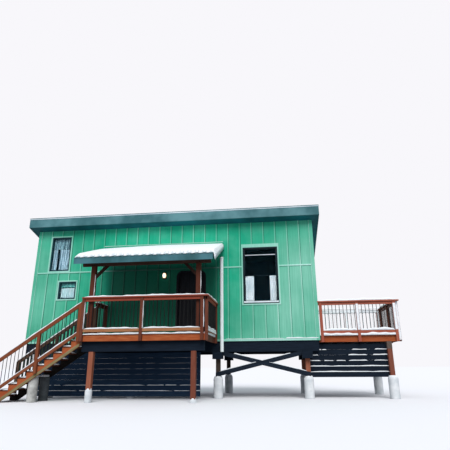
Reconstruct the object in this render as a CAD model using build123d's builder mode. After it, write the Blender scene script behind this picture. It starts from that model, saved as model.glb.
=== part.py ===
from build123d import *
import os

# Tiny house on posts, with a roofed porch, a flight of stairs and a side deck.
# X runs along the front wall to the right, Y into the house, Z up, in millimetres.
# The origin is the middle of the outline on the ground.

# Driving dimensions of the house
batten_pitch = 406.4
batten_bays = 24
corner_margin = 61
house_depth = 3050
wall_thickness = 150
front_wall_height = 4000
siding_foot_height = 1720
floor_thickness = 250

# Main roof, one slope that falls to the rear
roof_slope = 0.25
roof_depth = 305
roof_metal_depth = 30
front_overhang = 350
rear_overhang = 300
end_overhang = 255
fascia_thickness = 25
fascia_drop = 15
metal_lip = 10

# Girders and posts under the house
girder_height = 330
girder_width = 90
girder_setback = 25
post_size = 140
bolster_length = 320
bolster_height = 215
bolster_reach = 165
pier_diameter = 300
house_pier_height = 620
pier_line_spacing = 2830
pier_lines = 4
last_pier_from_end = 409
brace_board_width = 140
brace_board_thickness = 38
brace_foot_height = 150
brace_seat = 30

# Windows, each by its left edge, foot, width and height
picture_window = (7495, 1187, 1178, 1913)
loft_window = (530, 2500, 733, 1250)
low_window = (964, 1494, 638, 613)
rear_window_places = (1400, 6300)
rear_window_foot = 1187
rear_window_width = 900
rear_window_height = 1100
window_frame_face = 45
window_frame_depth = 90
window_frame_proud = 10
glass_thickness = 20
glass_setback = 45

# Cafe curtains in the picture window
curtain_rod_diameter = 16
curtain_rod_height = 2140
curtain_setback = 115
curtain_thickness = 24
curtain_foot = 1290
curtain_gap = 0.3
left_curtain = (7545, 305)
right_curtain = (8380, 225)

# Front door
door_left = 5207
leaf_width = 914
leaf_height = 2032
leaf_thickness = 45
leaf_shoulder_radius = 150
door_gap = 5
door_frame_face = 50
door_sill_height = 30
door_stop_width = 12
hinge_radius = 6
hinge_offset = 4
knuckle_height = 30
knuckle_gap = 0.3
hinge_plate_width = 38
hinge_plate_thickness = 3
hinge_heights = (250, 1016, 1780)
handle_height = 960
handle_backset = 70
handle_rose_diameter = 56
handle_rose_thickness = 10
handle_neck_diameter = 20
handle_reach = 55
lever_length = 115
lever_thickness = 18

# Fixed door from the house on to the side deck
end_door_start = 800
end_door_width = 914
end_door_height = 2080
end_door_leaf_thickness = 60

# Porch lamp and vent pipe
lamp_centre = 4800
lamp_middle_height = 2195
lamp_plate = (110, 200, 18)
lamp_body = (120, 190, 120)
lamp_cap_height = 22
lamp_cap_margin = 12
lamp_arm = 30
pipe_from_rail = 166
pipe_diameter = 110
pipe_top = 2784
pipe_collar_diameter = 124
pipe_collar_height = 60
pipe_stand_off = 20
strap_height = 40
strap_margin = 8
strap_heights = (600, 2200)

# Porch deck
deck_height = 1870
porch_centre = 4680
deck_width = 3700
deck_depth = 1910
deck_board_thickness = 25
rim_height = 184
rim_thickness = 38
joist_pitch = 406.4
deck_beam_height = 286
deck_beam_thickness = 76
deck_beam_line = 1750
deck_post_inset = 335
deck_beam_inset = 20
deck_pier_diameter = 200
deck_pier_heights = (350, 100)

# Porch roof
porch_roof_margin = 275
porch_roof_reach = 2250
porch_roof_slope = 0.4
porch_roof_top = 3295
porch_roof_depth = 165
porch_metal_depth = 25
porch_post_inset = 212
porch_post_line = 1810
porch_beam_tail = 372
porch_beam_height = 185
porch_beam_thickness = 89
knee_leg = 400
knee_board = 89
knee_thickness = 60

# Guard rails
rail_post_size = 89
rail_height = 1067
cap_width = 140
cap_thickness = 38
sub_rail_height = 89
low_rail_gap = 50
low_rail_height = 89
rail_thickness = 38
baluster_size = 19
baluster_pitch = 115
corner_gap = 30

# Stairs
riser = 170
going = 254
stair_width = 990
tread_thickness = 38
tread_nosing = 25
stringer_thickness = 38
stringer_depth = 344
handrail_over_nosing = 950
handrail_height = 127
low_stair_rail_over_nosing = 115
low_stair_rail_height = 105
stair_mid_post = 1585
stair_post_margin = 40
stair_pier_place = 1452
stair_pier_diameter = 280
newel_from_foot = 40

# Side deck
side_deck_width = 2425
side_deck_depth = 2350
side_girder_height = 220
side_girder_width = 150
side_post_from_end = 315
side_first_post = 55
side_middle_from_end = 1230
side_last_from_end = 0

# Horizontal slats
slat_height = 150
slat_gap = 15
slat_thickness = 25
slat_stud_width = 90
side_slat_count = 6
side_slat_drop = 115
skirt_left = 650
skirt_right = 6100
skirt_slat_count = 8
skirt_slat_gap = 5
skirt_stud_count = 4

# Places that follow from the driving dimensions
house_length = batten_bays * batten_pitch + 2 * corner_margin
riser_count = round(deck_height / riser)
tread_count = riser_count - 1
left_end = -(end_overhang + metal_lip)
cap_overhang = (cap_width - rail_post_size) / 2
right_end = house_length + side_deck_width + rail_post_size + cap_overhang
front_end = -(porch_roof_reach + metal_lip)
rear_end = house_depth + rear_overhang + metal_lip
x0 = -(left_end + right_end) / 2
y0 = -(front_end + rear_end) / 2
z0 = siding_foot_height
house_right = x0 + house_length
house_rear = y0 + house_depth
floor_top = z0 + floor_thickness
deck_left = x0 + porch_centre - deck_width / 2
deck_right = deck_left + deck_width
deck_front = y0 - deck_depth
rim_top = deck_height - deck_board_thickness
rim_foot = rim_top - rim_height
rail_front = deck_front - rail_post_size
inner_face = y0 + wall_thickness


def block(x_range, y_range, z_range):
    """Add a box that fills three ranges to the part being built."""
    sizes = [end - start for start, end in (x_range, y_range, z_range)]
    middle = [(start + end) / 2 for start, end in (x_range, y_range, z_range)]
    with Locations(tuple(middle)):
        Box(*sizes)


def column(x, y, diameter, z_range):
    """Add an upright round column."""
    with BuildSketch(Plane.XY.offset(z_range[0])) as section:
        with Locations((x, y)):
            Circle(diameter / 2)
    extrude(section.sketch, amount=z_range[1] - z_range[0])


def side_profile(points, x_range):
    """Add a prism along X over an outline of (y, z) points."""
    with BuildSketch(Plane.YZ.offset(x_range[0])) as outline:
        with BuildLine():
            Polyline(*points, close=True)
        make_face()
    extrude(outline.sketch, amount=x_range[1] - x_range[0])


def front_profile(points, y_range, mode=Mode.ADD):
    """Add or cut a prism along Y over an outline of (x, z) points."""
    with BuildSketch(Plane.XZ.offset(-y_range[1])) as outline:
        with BuildLine():
            Polyline(*points, close=True)
        make_face()
    extrude(outline.sketch, amount=y_range[1] - y_range[0], mode=mode)


def finish(builder, label):
    """Name the finished piece and write its STEP file."""
    builder.part.label = label
    export_step(builder.part, f"parts/{label}.step")


def roof_under(y):
    """Height of the main roof's underside at y."""
    return z0 + front_wall_height - roof_slope * (y - y0)


def roof_band(y_range, low, high):
    """Outline of a band that lies between two heights over the main roof's underside."""
    near, far = y_range
    return [
        (near, roof_under(near) + low),
        (far, roof_under(far) + low),
        (far, roof_under(far) + high),
        (near, roof_under(near) + high),
    ]


def porch_top(y):
    """Height of the top of the porch roof's metal at y."""
    return z0 + porch_roof_top + porch_roof_slope * (y - y0)


def porch_band(y_range, low, high):
    """Outline of a band that lies between two depths under the porch roof's top."""
    near, far = y_range
    return [
        (near, porch_top(near) - low),
        (far, porch_top(far) - low),
        (far, porch_top(far) - high),
        (near, porch_top(near) - high),
    ]


def wall_band(y_range):
    """Outline of a wall from the floor up to the main roof."""
    near, far = y_range
    return [
        (near, floor_top),
        (far, floor_top),
        (far, roof_under(far)),
        (near, roof_under(near)),
    ]


def window_spans(window):
    """X and Z range of a window in the front wall."""
    left, foot, width, height = window
    return (x0 + left, x0 + left + width), (z0 + foot, z0 + foot + height)


def inset(span, margin):
    """The span shortened by a margin at both ends."""
    return span[0] + margin, span[1] - margin


os.makedirs("parts", exist_ok=True)

front_band = (y0, inner_face)
rear_band = (house_rear - wall_thickness, house_rear)
door_outer_width = leaf_width + 2 * door_gap + 2 * door_frame_face
door_x = (x0 + door_left, x0 + door_left + door_outer_width)
leaf_foot = floor_top + door_sill_height + door_gap
door_head = leaf_foot + leaf_height + door_gap + door_frame_face
rear_windows = [
    (
        (x0 + place, x0 + place + rear_window_width),
        (z0 + rear_window_foot, z0 + rear_window_foot + rear_window_height),
    )
    for place in rear_window_places
]

# Floor platform and the girders that carry it
with BuildPart() as floor_platform:
    block((x0, house_right), (y0, house_rear), (z0, floor_top))
finish(floor_platform, "floor_platform")

girder_foot = z0 - girder_height
front_girder = (y0 + girder_setback, y0 + girder_setback + girder_width)
rear_girder = (house_rear - girder_setback - girder_width, house_rear - girder_setback)
girder_x = (x0 + girder_setback, house_right - girder_setback)
pier_places = [
    house_right - last_pier_from_end - line * pier_line_spacing for line in range(pier_lines)
]

with BuildPart() as floor_girders:
    block(girder_x, front_girder, (girder_foot, z0))
    block(girder_x, rear_girder, (girder_foot, z0))
finish(floor_girders, "floor_girders")

with BuildPart() as floor_cross_beams:
    for cross_x in (*pier_places, girder_x[0] + girder_width / 2):
        cross = (cross_x - girder_width / 2, cross_x + girder_width / 2)
        block(cross, (front_girder[1], rear_girder[0]), (girder_foot, z0))
finish(floor_cross_beams, "floor_cross_beams")

# Posts and bolsters under the house
post_rows = (
    (y0 + girder_setback, y0 + girder_setback + post_size),
    (house_rear - girder_setback - post_size, house_rear - girder_setback),
)
bolster_rows = (
    (post_rows[0][0] - bolster_reach, post_rows[0][1]),
    (post_rows[1][0], post_rows[1][1] + bolster_reach),
)

bolster_foot = girder_foot - bolster_height
with BuildPart() as house_posts:
    for place in pier_places:
        for post_y in post_rows:
            post_x = (place - post_size / 2, place + post_size / 2)
            block(post_x, post_y, (house_pier_height, bolster_foot))
finish(house_posts, "house_posts")

with BuildPart() as bolster_blocks:
    for place in pier_places:
        for bolster_y in bolster_rows:
            bolster_x = (place - bolster_length / 2, place + bolster_length / 2)
            block(bolster_x, bolster_y, (bolster_foot, girder_foot))
finish(bolster_blocks, "bolster_blocks")

# Flat cross of two boards between the two right front posts
brace_left = pier_places[1]
brace_right = pier_places[0]
brace_low = house_pier_height + brace_foot_height
brace_high = girder_foot + brace_seat
brace_y = (front_girder[0] - brace_board_thickness, front_girder[0])
brace_reach = post_size / 2
brace_top_left = brace_left + bolster_length / 2
brace_top_right = brace_right - bolster_length / 2

rising_outline = [
    (brace_left - brace_reach, brace_low - brace_board_width),
    (brace_top_right, brace_high - brace_board_width),
    (brace_top_right, brace_high),
    (brace_left - brace_reach, brace_low),
]
falling_outline = [
    (brace_top_left, brace_high - brace_board_width),
    (brace_right + brace_reach, brace_low - brace_board_width),
    (brace_right + brace_reach, brace_low),
    (brace_top_left, brace_high),
]

with BuildPart() as rising_brace:
    front_profile(rising_outline, brace_y)
finish(rising_brace, "rising_brace")

with BuildPart() as falling_brace:
    front_profile(falling_outline, brace_y)
    front_profile(rising_outline, brace_y, Mode.SUBTRACT)
finish(falling_brace, "falling_brace")

# Walls, with the front wall split beside and over the doorway
with BuildPart() as front_wall_left:
    side_profile(wall_band(front_band), (x0, door_x[0]))
    for window in (loft_window, low_window):
        hole_x, hole_z = window_spans(window)
        with Locations((sum(hole_x) / 2, sum(front_band) / 2, sum(hole_z) / 2)):
            Box(window[2], wall_thickness, window[3], mode=Mode.SUBTRACT)
finish(front_wall_left, "front_wall_left")

with BuildPart() as front_wall_right:
    side_profile(wall_band(front_band), (door_x[1], house_right))
    hole_x, hole_z = window_spans(picture_window)
    with Locations((sum(hole_x) / 2, sum(front_band) / 2, sum(hole_z) / 2)):
        Box(picture_window[2], wall_thickness, picture_window[3], mode=Mode.SUBTRACT)
finish(front_wall_right, "front_wall_right")

with BuildPart() as front_wall_over_door:
    side_profile(
        [
            (y0, door_head),
            (inner_face, door_head),
            (inner_face, roof_under(inner_face)),
            (y0, roof_under(y0)),
        ],
        door_x,
    )
finish(front_wall_over_door, "front_wall_over_door")

with BuildPart() as rear_wall:
    side_profile(wall_band(rear_band), (x0, house_right))
    for hole_x, hole_z in rear_windows:
        with Locations((sum(hole_x) / 2, sum(rear_band) / 2, sum(hole_z) / 2)):
            Box(rear_window_width, wall_thickness, rear_window_height, mode=Mode.SUBTRACT)
finish(rear_wall, "rear_wall")

end_band = (inner_face, rear_band[0])
with BuildPart() as left_end_wall:
    side_profile(wall_band(end_band), (x0, x0 + wall_thickness))
finish(left_end_wall, "left_end_wall")

end_door_y = (y0 + end_door_start, y0 + end_door_start + end_door_width)
end_door_z = (floor_top, floor_top + end_door_height)
right_wall_x = (house_right - wall_thickness, house_right)
with BuildPart() as right_end_wall:
    side_profile(wall_band(end_band), right_wall_x)
    with Locations((sum(right_wall_x) / 2, sum(end_door_y) / 2, sum(end_door_z) / 2)):
        Box(wall_thickness, end_door_width, end_door_height, mode=Mode.SUBTRACT)
finish(right_end_wall, "right_end_wall")

with BuildPart() as end_door:
    leaf_x = (house_right - end_door_leaf_thickness, house_right)
    block(leaf_x, end_door_y, end_door_z)
finish(end_door, "end_door")

# Main roof
roof_y = (y0 - front_overhang, house_rear + rear_overhang)
roof_x = (x0 - end_overhang, house_right + end_overhang)
deck_y = inset(roof_y, fascia_thickness)
deck_x = inset(roof_x, fascia_thickness)

with BuildPart() as main_roof:
    side_profile(roof_band(deck_y, 0, roof_depth), deck_x)
finish(main_roof, "main_roof")

with BuildPart() as eaves_fascias:
    for board_y in ((roof_y[0], deck_y[0]), (deck_y[1], roof_y[1])):
        side_profile(roof_band(board_y, -fascia_drop, roof_depth), roof_x)
finish(eaves_fascias, "eaves_fascias")

with BuildPart() as rake_boards:
    for board_x in ((roof_x[0], deck_x[0]), (deck_x[1], roof_x[1])):
        side_profile(roof_band(deck_y, -fascia_drop, roof_depth), board_x)
finish(rake_boards, "rake_boards")

with BuildPart() as main_roof_metal:
    side_profile(
        roof_band(inset(roof_y, -metal_lip), roof_depth, roof_depth + roof_metal_depth),
        inset(roof_x, -metal_lip),
    )
finish(main_roof_metal, "main_roof_metal")


def window_frame(hole_x, hole_z, outer_y, inward):
    """Add a window's rectangular frame, its outer face a little proud of the wall."""
    start = outer_y - inward * window_frame_proud
    frame_y = sorted((start, start + inward * window_frame_depth))
    block(hole_x, frame_y, hole_z)
    clear_x = inset(hole_x, window_frame_face)
    clear_z = inset(hole_z, window_frame_face)
    with Locations((sum(clear_x) / 2, sum(frame_y) / 2, sum(clear_z) / 2)):
        Box(
            clear_x[1] - clear_x[0],
            window_frame_depth,
            clear_z[1] - clear_z[0],
            mode=Mode.SUBTRACT,
        )


def window_glass(hole_x, hole_z, outer_y, inward):
    """Add the pane that fills a window's frame."""
    start = outer_y + inward * glass_setback
    pane_y = sorted((start, start + inward * glass_thickness))
    block(inset(hole_x, window_frame_face), pane_y, inset(hole_z, window_frame_face))


# Windows
front_windows = [window_spans(window) for window in (picture_window, loft_window, low_window)]
with BuildPart() as front_window_frames:
    for hole_x, hole_z in front_windows:
        window_frame(hole_x, hole_z, y0, 1)
finish(front_window_frames, "front_window_frames")

with BuildPart() as front_window_glass:
    for hole_x, hole_z in front_windows:
        window_glass(hole_x, hole_z, y0, 1)
finish(front_window_glass, "front_window_glass")

with BuildPart() as rear_window_frames:
    for hole_x, hole_z in rear_windows:
        window_frame(hole_x, hole_z, house_rear, -1)
finish(rear_window_frames, "rear_window_frames")

with BuildPart() as rear_window_glass:
    for hole_x, hole_z in rear_windows:
        window_glass(hole_x, hole_z, house_rear, -1)
finish(rear_window_glass, "rear_window_glass")

# Cafe curtains on a rod in the picture window's reveal
rod_z = z0 + curtain_rod_height
curtain_line = y0 + curtain_setback
with BuildPart() as curtain_rod:
    with BuildSketch(Plane.YZ.offset(x0 + picture_window[0])):
        with Locations((curtain_line, rod_z)):
            Circle(curtain_rod_diameter / 2)
    extrude(amount=picture_window[2])
finish(curtain_rod, "curtain_rod")

curtain_y = (curtain_line - curtain_thickness / 2, curtain_line + curtain_thickness / 2)
curtain_z = (z0 + curtain_foot, rod_z - curtain_rod_diameter / 2 - curtain_gap)
with BuildPart() as cafe_curtains:
    for left, width in (left_curtain, right_curtain):
        block((x0 + left, x0 + left + width), curtain_y, curtain_z)
finish(cafe_curtains, "cafe_curtains")

# Front door: frame, leaf with rounded shoulders, hinges and handle
leaf_left = door_x[0] + door_frame_face + door_gap
leaf_x = (leaf_left, leaf_left + leaf_width)
leaf_z = (leaf_foot, leaf_foot + leaf_height)
leaf_y = (inner_face - leaf_thickness, inner_face)


def shouldered(x_range, z_range, radius, near_y, depth, mode=Mode.ADD):
    """Add or cut a plate with two rounded upper corners."""
    with BuildSketch(Plane.XZ.offset(-near_y - depth)) as outline:
        with Locations((sum(x_range) / 2, sum(z_range) / 2)):
            Rectangle(x_range[1] - x_range[0], z_range[1] - z_range[0])
        fillet(outline.vertices().group_by(Axis.Y)[-1], radius)
    extrude(outline.sketch, amount=depth, mode=mode)


stop_depth = wall_thickness - leaf_thickness - door_gap
with BuildPart() as door_frame:
    block(door_x, front_band, (floor_top, door_head))
    shouldered(
        inset(leaf_x, -door_gap),
        (floor_top + door_sill_height, leaf_z[1] + door_gap),
        leaf_shoulder_radius + door_gap,
        y0 + stop_depth,
        wall_thickness - stop_depth,
        Mode.SUBTRACT,
    )
    shouldered(
        inset(leaf_x, door_stop_width),
        (floor_top + door_sill_height, leaf_z[1] - door_stop_width),
        leaf_shoulder_radius - door_stop_width,
        y0,
        stop_depth,
        Mode.SUBTRACT,
    )
finish(door_frame, "door_frame")

with BuildPart() as door_leaf:
    shouldered(leaf_x, leaf_z, leaf_shoulder_radius, leaf_y[0], leaf_thickness)
finish(door_leaf, "door_leaf")

hinge_x = leaf_x[0] - hinge_offset
hinge_y = inner_face + hinge_radius
plate_y = (inner_face, inner_face + hinge_plate_thickness)
with BuildPart() as door_hinges:
    for height in hinge_heights:
        for step in (-1, 1):
            middle = leaf_foot + height + step * (knuckle_height + knuckle_gap)
            knuckle_z = (middle - knuckle_height / 2, middle + knuckle_height / 2)
            column(hinge_x, hinge_y, 2 * hinge_radius, knuckle_z)
            block((hinge_x - hinge_plate_width, hinge_x), plate_y, knuckle_z)
finish(door_hinges, "door_hinges")

with BuildPart() as door_hinge_leaves:
    for height in hinge_heights:
        middle = leaf_foot + height
        knuckle_z = (middle - knuckle_height / 2, middle + knuckle_height / 2)
        column(hinge_x, hinge_y, 2 * hinge_radius, knuckle_z)
        block((hinge_x, hinge_x + hinge_plate_width), plate_y, knuckle_z)
finish(door_hinge_leaves, "door_hinge_leaves")

handle_x = leaf_x[1] - handle_backset
handle_z = leaf_foot + handle_height
with BuildPart() as door_handle:
    for face_y, outward in ((leaf_y[0], -1), (leaf_y[1], 1)):
        turned = Plane(origin=(handle_x, face_y, handle_z), x_dir=(1, 0, 0), z_dir=(0, outward, 0))
        with BuildSketch(turned):
            Circle(handle_rose_diameter / 2)
        extrude(amount=handle_rose_thickness)
        with BuildSketch(turned):
            Circle(handle_neck_diameter / 2)
        extrude(amount=handle_reach)
        lever_y = sorted(
            (face_y + outward * (handle_reach - lever_thickness), face_y + outward * handle_reach)
        )
        block(
            (handle_x - lever_length, handle_x + lever_thickness / 2),
            lever_y,
            (handle_z - lever_thickness / 2, handle_z + lever_thickness / 2),
        )
finish(door_handle, "door_handle")

# Lantern beside the door
lamp_x = x0 + lamp_centre
lamp_z = z0 + lamp_middle_height
lamp_near = y0 - lamp_plate[2] - lamp_arm
with BuildPart() as porch_lamp:
    block(
        (lamp_x - lamp_plate[0] / 2, lamp_x + lamp_plate[0] / 2),
        (y0 - lamp_plate[2], y0),
        (lamp_z - lamp_plate[1] / 2, lamp_z + lamp_plate[1] / 2),
    )
    for top in (lamp_z + lamp_body[1] / 2 + lamp_cap_height, lamp_z - lamp_body[1] / 2):
        block(
            (
                lamp_x - lamp_body[0] / 2 - lamp_cap_margin,
                lamp_x + lamp_body[0] / 2 + lamp_cap_margin,
            ),
            (lamp_near - lamp_body[2] - lamp_cap_margin, lamp_near + lamp_cap_margin),
            (top - lamp_cap_height, top),
        )
    block(
        (lamp_x - lamp_arm / 2, lamp_x + lamp_arm / 2),
        (lamp_near, y0 - lamp_plate[2]),
        (lamp_z - lamp_body[1] / 2 - lamp_cap_height, lamp_z + lamp_body[1] / 2 + lamp_cap_height),
    )
finish(porch_lamp, "porch_lamp")

with BuildPart() as porch_lamp_glass:
    block(
        (lamp_x - lamp_body[0] / 2, lamp_x + lamp_body[0] / 2),
        (lamp_near - lamp_body[2], lamp_near),
        (lamp_z - lamp_body[1] / 2, lamp_z + lamp_body[1] / 2),
    )
finish(porch_lamp_glass, "porch_lamp_glass")

# Vent pipe that stands on the bolster and is strapped to the wall
pipe_x = deck_right + rail_post_size + pipe_from_rail
pipe_y = y0 - pipe_stand_off - pipe_diameter / 2
with BuildPart() as vent_pipe:
    column(pipe_x, pipe_y, pipe_diameter, (girder_foot, z0 + pipe_top))
    column(
        pipe_x,
        pipe_y,
        pipe_collar_diameter,
        (z0 + pipe_top - pipe_collar_height, z0 + pipe_top),
    )
    for height in strap_heights:
        strap_x = (
            pipe_x - pipe_diameter / 2 - strap_margin,
            pipe_x + pipe_diameter / 2 + strap_margin,
        )
        block(strap_x, (pipe_y, y0), (z0 + height, z0 + height + strap_height))
finish(vent_pipe, "vent_pipe")

# Porch deck and side deck
side_left = house_right
side_right = house_right + side_deck_width
side_front = y0 + rail_post_size
side_rear = side_front + side_deck_depth
side_post_x = (
    side_right - side_post_from_end - post_size / 2,
    side_right - side_post_from_end + post_size / 2,
)
side_post_rows = (
    post_rows[0],
    (side_rear - girder_setback - post_size, side_rear - girder_setback),
)
with BuildPart() as deck_boards:
    block((deck_left, deck_right), (deck_front, y0), (rim_top, deck_height))
    block((side_left, side_right), (side_front, side_rear), (rim_top, deck_height))
finish(deck_boards, "deck_boards")


def deck_frame(x_range, y_range):
    """Add a deck's rim boards and the joists between them, which run along Y."""
    frame_z = (rim_foot, rim_top)
    block(x_range, (y_range[0], y_range[0] + rim_thickness), frame_z)
    block(x_range, (y_range[1] - rim_thickness, y_range[1]), frame_z)
    bays = round((x_range[1] - x_range[0]) / joist_pitch)
    pitch = (x_range[1] - x_range[0] - rim_thickness) / bays
    for joist in range(bays + 1):
        start = x_range[0] + joist * pitch
        block((start, start + rim_thickness), y_range, frame_z)


with BuildPart() as deck_frames:
    deck_frame((deck_left, deck_right), (deck_front, y0))
    deck_frame((side_left, side_right), (side_front, side_rear))
finish(deck_frames, "deck_frames")

deck_posts_x = inset((deck_left, deck_right), deck_post_inset)
deck_beam_y = (
    y0 - deck_beam_line - deck_beam_thickness / 2,
    y0 - deck_beam_line + deck_beam_thickness / 2,
)
deck_beam_foot = rim_foot - deck_beam_height
side_girder_foot = rim_foot - side_girder_height
side_girder_x = (
    sum(side_post_x) / 2 - side_girder_width / 2,
    sum(side_post_x) / 2 + side_girder_width / 2,
)
with BuildPart() as deck_beams:
    block(
        inset((deck_left, deck_right), deck_beam_inset),
        deck_beam_y,
        (deck_beam_foot, rim_foot),
    )
    block(
        side_girder_x,
        (side_post_rows[0][0], side_post_rows[1][1]),
        (side_girder_foot, rim_foot),
    )
finish(deck_beams, "deck_beams")

deck_post_y = (
    y0 - deck_beam_line - post_size / 2,
    y0 - deck_beam_line + post_size / 2,
)
with BuildPart() as deck_posts:
    for place, pier_height in zip(deck_posts_x, deck_pier_heights):
        block(
            (place - post_size / 2, place + post_size / 2),
            deck_post_y,
            (pier_height, deck_beam_foot),
        )
    for row in side_post_rows:
        block(side_post_x, row, (house_pier_height, side_girder_foot))
finish(deck_posts, "deck_posts")

# Porch roof on two posts
porch_x = inset((deck_left, deck_right), -porch_roof_margin)
porch_y = (y0 - porch_roof_reach, y0)
rafters_y = (porch_y[0] + fascia_thickness, y0)
rafters_low = porch_metal_depth + porch_roof_depth

with BuildPart() as porch_roof:
    side_profile(porch_band(rafters_y, porch_metal_depth, rafters_low), porch_x)
finish(porch_roof, "porch_roof")

with BuildPart() as porch_fascia:
    side_profile(
        porch_band((porch_y[0], rafters_y[0]), porch_metal_depth, rafters_low + fascia_drop),
        porch_x,
    )
finish(porch_fascia, "porch_fascia")

with BuildPart() as porch_roof_metal:
    side_profile(
        porch_band((porch_y[0] - metal_lip, y0), 0, porch_metal_depth),
        inset(porch_x, -metal_lip),
    )
finish(porch_roof_metal, "porch_roof_metal")

porch_post_x = inset((deck_left, deck_right), porch_post_inset)
beam_x = inset(porch_post_x, -porch_beam_tail)
beam_y = (
    y0 - porch_post_line - porch_beam_thickness / 2,
    y0 - porch_post_line + porch_beam_thickness / 2,
)
beam_foot = porch_top(y0 - porch_post_line) - rafters_low - porch_beam_height
with BuildPart() as porch_beam:
    side_profile(
        [
            (beam_y[0], beam_foot),
            (beam_y[1], beam_foot),
            (beam_y[1], porch_top(beam_y[1]) - rafters_low),
            (beam_y[0], porch_top(beam_y[0]) - rafters_low),
        ],
        beam_x,
    )
finish(porch_beam, "porch_beam")

porch_post_y = (
    y0 - porch_post_line - post_size / 2,
    y0 - porch_post_line + post_size / 2,
)
with BuildPart() as porch_posts:
    for place in porch_post_x:
        block(
            (place - post_size / 2, place + post_size / 2),
            porch_post_y,
            (deck_height, beam_foot),
        )
finish(porch_posts, "porch_posts")

knee_y = (
    y0 - porch_post_line - knee_thickness / 2,
    y0 - porch_post_line + knee_thickness / 2,
)
with BuildPart() as knee_braces:
    for place, inward in zip(porch_post_x, (1, -1)):
        face = place + inward * post_size / 2
        front_profile(
            [
                (face, beam_foot - knee_leg),
                (face + inward * knee_leg, beam_foot),
                (face + inward * (knee_leg - knee_board * 2**0.5), beam_foot),
                (face, beam_foot - knee_leg + knee_board * 2**0.5),
            ],
            knee_y,
        )
finish(knee_braces, "knee_braces")


def guard_rail(length, posts, cap):
    """Add a guard rail along local X, its outer face on local Y = 0 and local Z = 0 at the
    foot of its posts, which stand at the given starts and reach up to the cap."""
    top = deck_height + rail_height - rim_foot
    deck_top = deck_height - rim_foot
    middle = rail_post_size / 2
    rail_y = (middle - rail_thickness / 2, middle + rail_thickness / 2)
    sub_z = (top - cap_thickness - sub_rail_height, top - cap_thickness)
    low_z = (deck_top + low_rail_gap, deck_top + low_rail_gap + low_rail_height)
    block(cap, (-cap_overhang, cap_width - cap_overhang), (top - cap_thickness, top))
    block((0, length), rail_y, sub_z)
    block((0, length), rail_y, low_z)
    for start in posts:
        block((start, start + rail_post_size), (0, rail_post_size), (0, top - cap_thickness))
    count = round(length / baluster_pitch)
    pitch = length / count
    for bar in range(1, count):
        spot = bar * pitch
        block(
            (spot - baluster_size / 2, spot + baluster_size / 2),
            (middle - baluster_size / 2, middle + baluster_size / 2),
            (low_z[1], sub_z[0]),
        )


def rail_plane(x, y, direction):
    """Plane whose X runs along a rail and whose origin is at the rim's foot."""
    return Plane(origin=(x, y, rim_foot), x_dir=direction, z_dir=(0, 0, 1))


# Porch guard rails: the front, the right side and the short left side beside the stairs
front_rail_length = deck_width - corner_gap
with BuildPart(rail_plane(deck_left, rail_front, (1, 0, 0))) as porch_railing_front:
    guard_rail(
        front_rail_length,
        (
            0,
            (front_rail_length - rail_post_size) / 2,
            front_rail_length - rail_post_size,
        ),
        (0, deck_width + rail_post_size + cap_overhang),
    )
finish(porch_railing_front, "porch_railing_front")

right_start = deck_front
right_length = deck_depth
with BuildPart(
    rail_plane(deck_right + rail_post_size, right_start, (0, 1, 0))
) as porch_railing_right:
    guard_rail(
        right_length,
        (0, right_length - rail_post_size),
        (cap_overhang, right_length),
    )
finish(porch_railing_right, "porch_railing_right")

stair_near = rail_front + rail_post_size
stair_far = stair_near + stair_width
left_rail_start = stair_far + rail_post_size
left_rail_length = y0 - left_rail_start
with BuildPart(rail_plane(deck_left - rail_post_size, y0, (0, -1, 0))) as porch_railing_left:
    guard_rail(
        left_rail_length,
        (0, left_rail_length - rail_post_size),
        (0, left_rail_length),
    )
finish(porch_railing_left, "porch_railing_left")

# Stairs that go down to the left from the deck
stair_foot = deck_left - tread_count * going


def nosing_line(x):
    """Height of the line through the treads' front edges at x."""
    return deck_height - (deck_left - x) * riser / going


def stringer_outline():
    """Saw-tooth outline under the treads, closed along the stringer's lower edge."""
    points = [(deck_left, deck_height - riser - tread_thickness)]
    for step in range(1, tread_count + 1):
        seat = deck_height - step * riser - tread_thickness
        points.append((deck_left - step * going, seat))
        if step < tread_count:
            points.append((deck_left - step * going, seat - riser))
    points.append((stair_foot, 0))
    foot_x = deck_left - (deck_height - stringer_depth) * going / riser
    points.append((foot_x, 0))
    points.append((deck_left, deck_height - stringer_depth))
    return points


newel_x = stair_foot + newel_from_foot
head_x = deck_left - rail_post_size
mid_x = x0 + stair_mid_post - rail_post_size / 2
stair_pier_x = x0 + stair_pier_place
stair_pier_height = nosing_line(stair_pier_x + stair_pier_diameter / 2) - stringer_depth
stringer_rows = (
    (stair_near, stair_near + stringer_thickness),
    (stair_far - stringer_thickness, stair_far),
)
with BuildPart() as stair_stringers:
    for row in stringer_rows:
        front_profile(stringer_outline(), row)
finish(stair_stringers, "stair_stringers")

with BuildPart() as stair_treads:
    for step in range(1, tread_count + 1):
        top = deck_height - step * riser
        block(
            (deck_left - step * going - tread_nosing, deck_left - (step - 1) * going),
            (stair_near, stair_far),
            (top - tread_thickness, top),
        )
finish(stair_treads, "stair_treads")


def post_foot(x):
    """Height at x where the middle post is cut off along the stringer's lower edge."""
    return nosing_line(x) - stringer_depth + stair_post_margin


def sloped_rail(over_nosing, depth, y_range, x_range):
    """Add a rail that follows the nosing line."""
    start, end = x_range
    front_profile(
        [
            (start, nosing_line(start) + over_nosing - depth),
            (end, nosing_line(end) + over_nosing - depth),
            (end, nosing_line(end) + over_nosing),
            (start, nosing_line(start) + over_nosing),
        ],
        y_range,
    )


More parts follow.
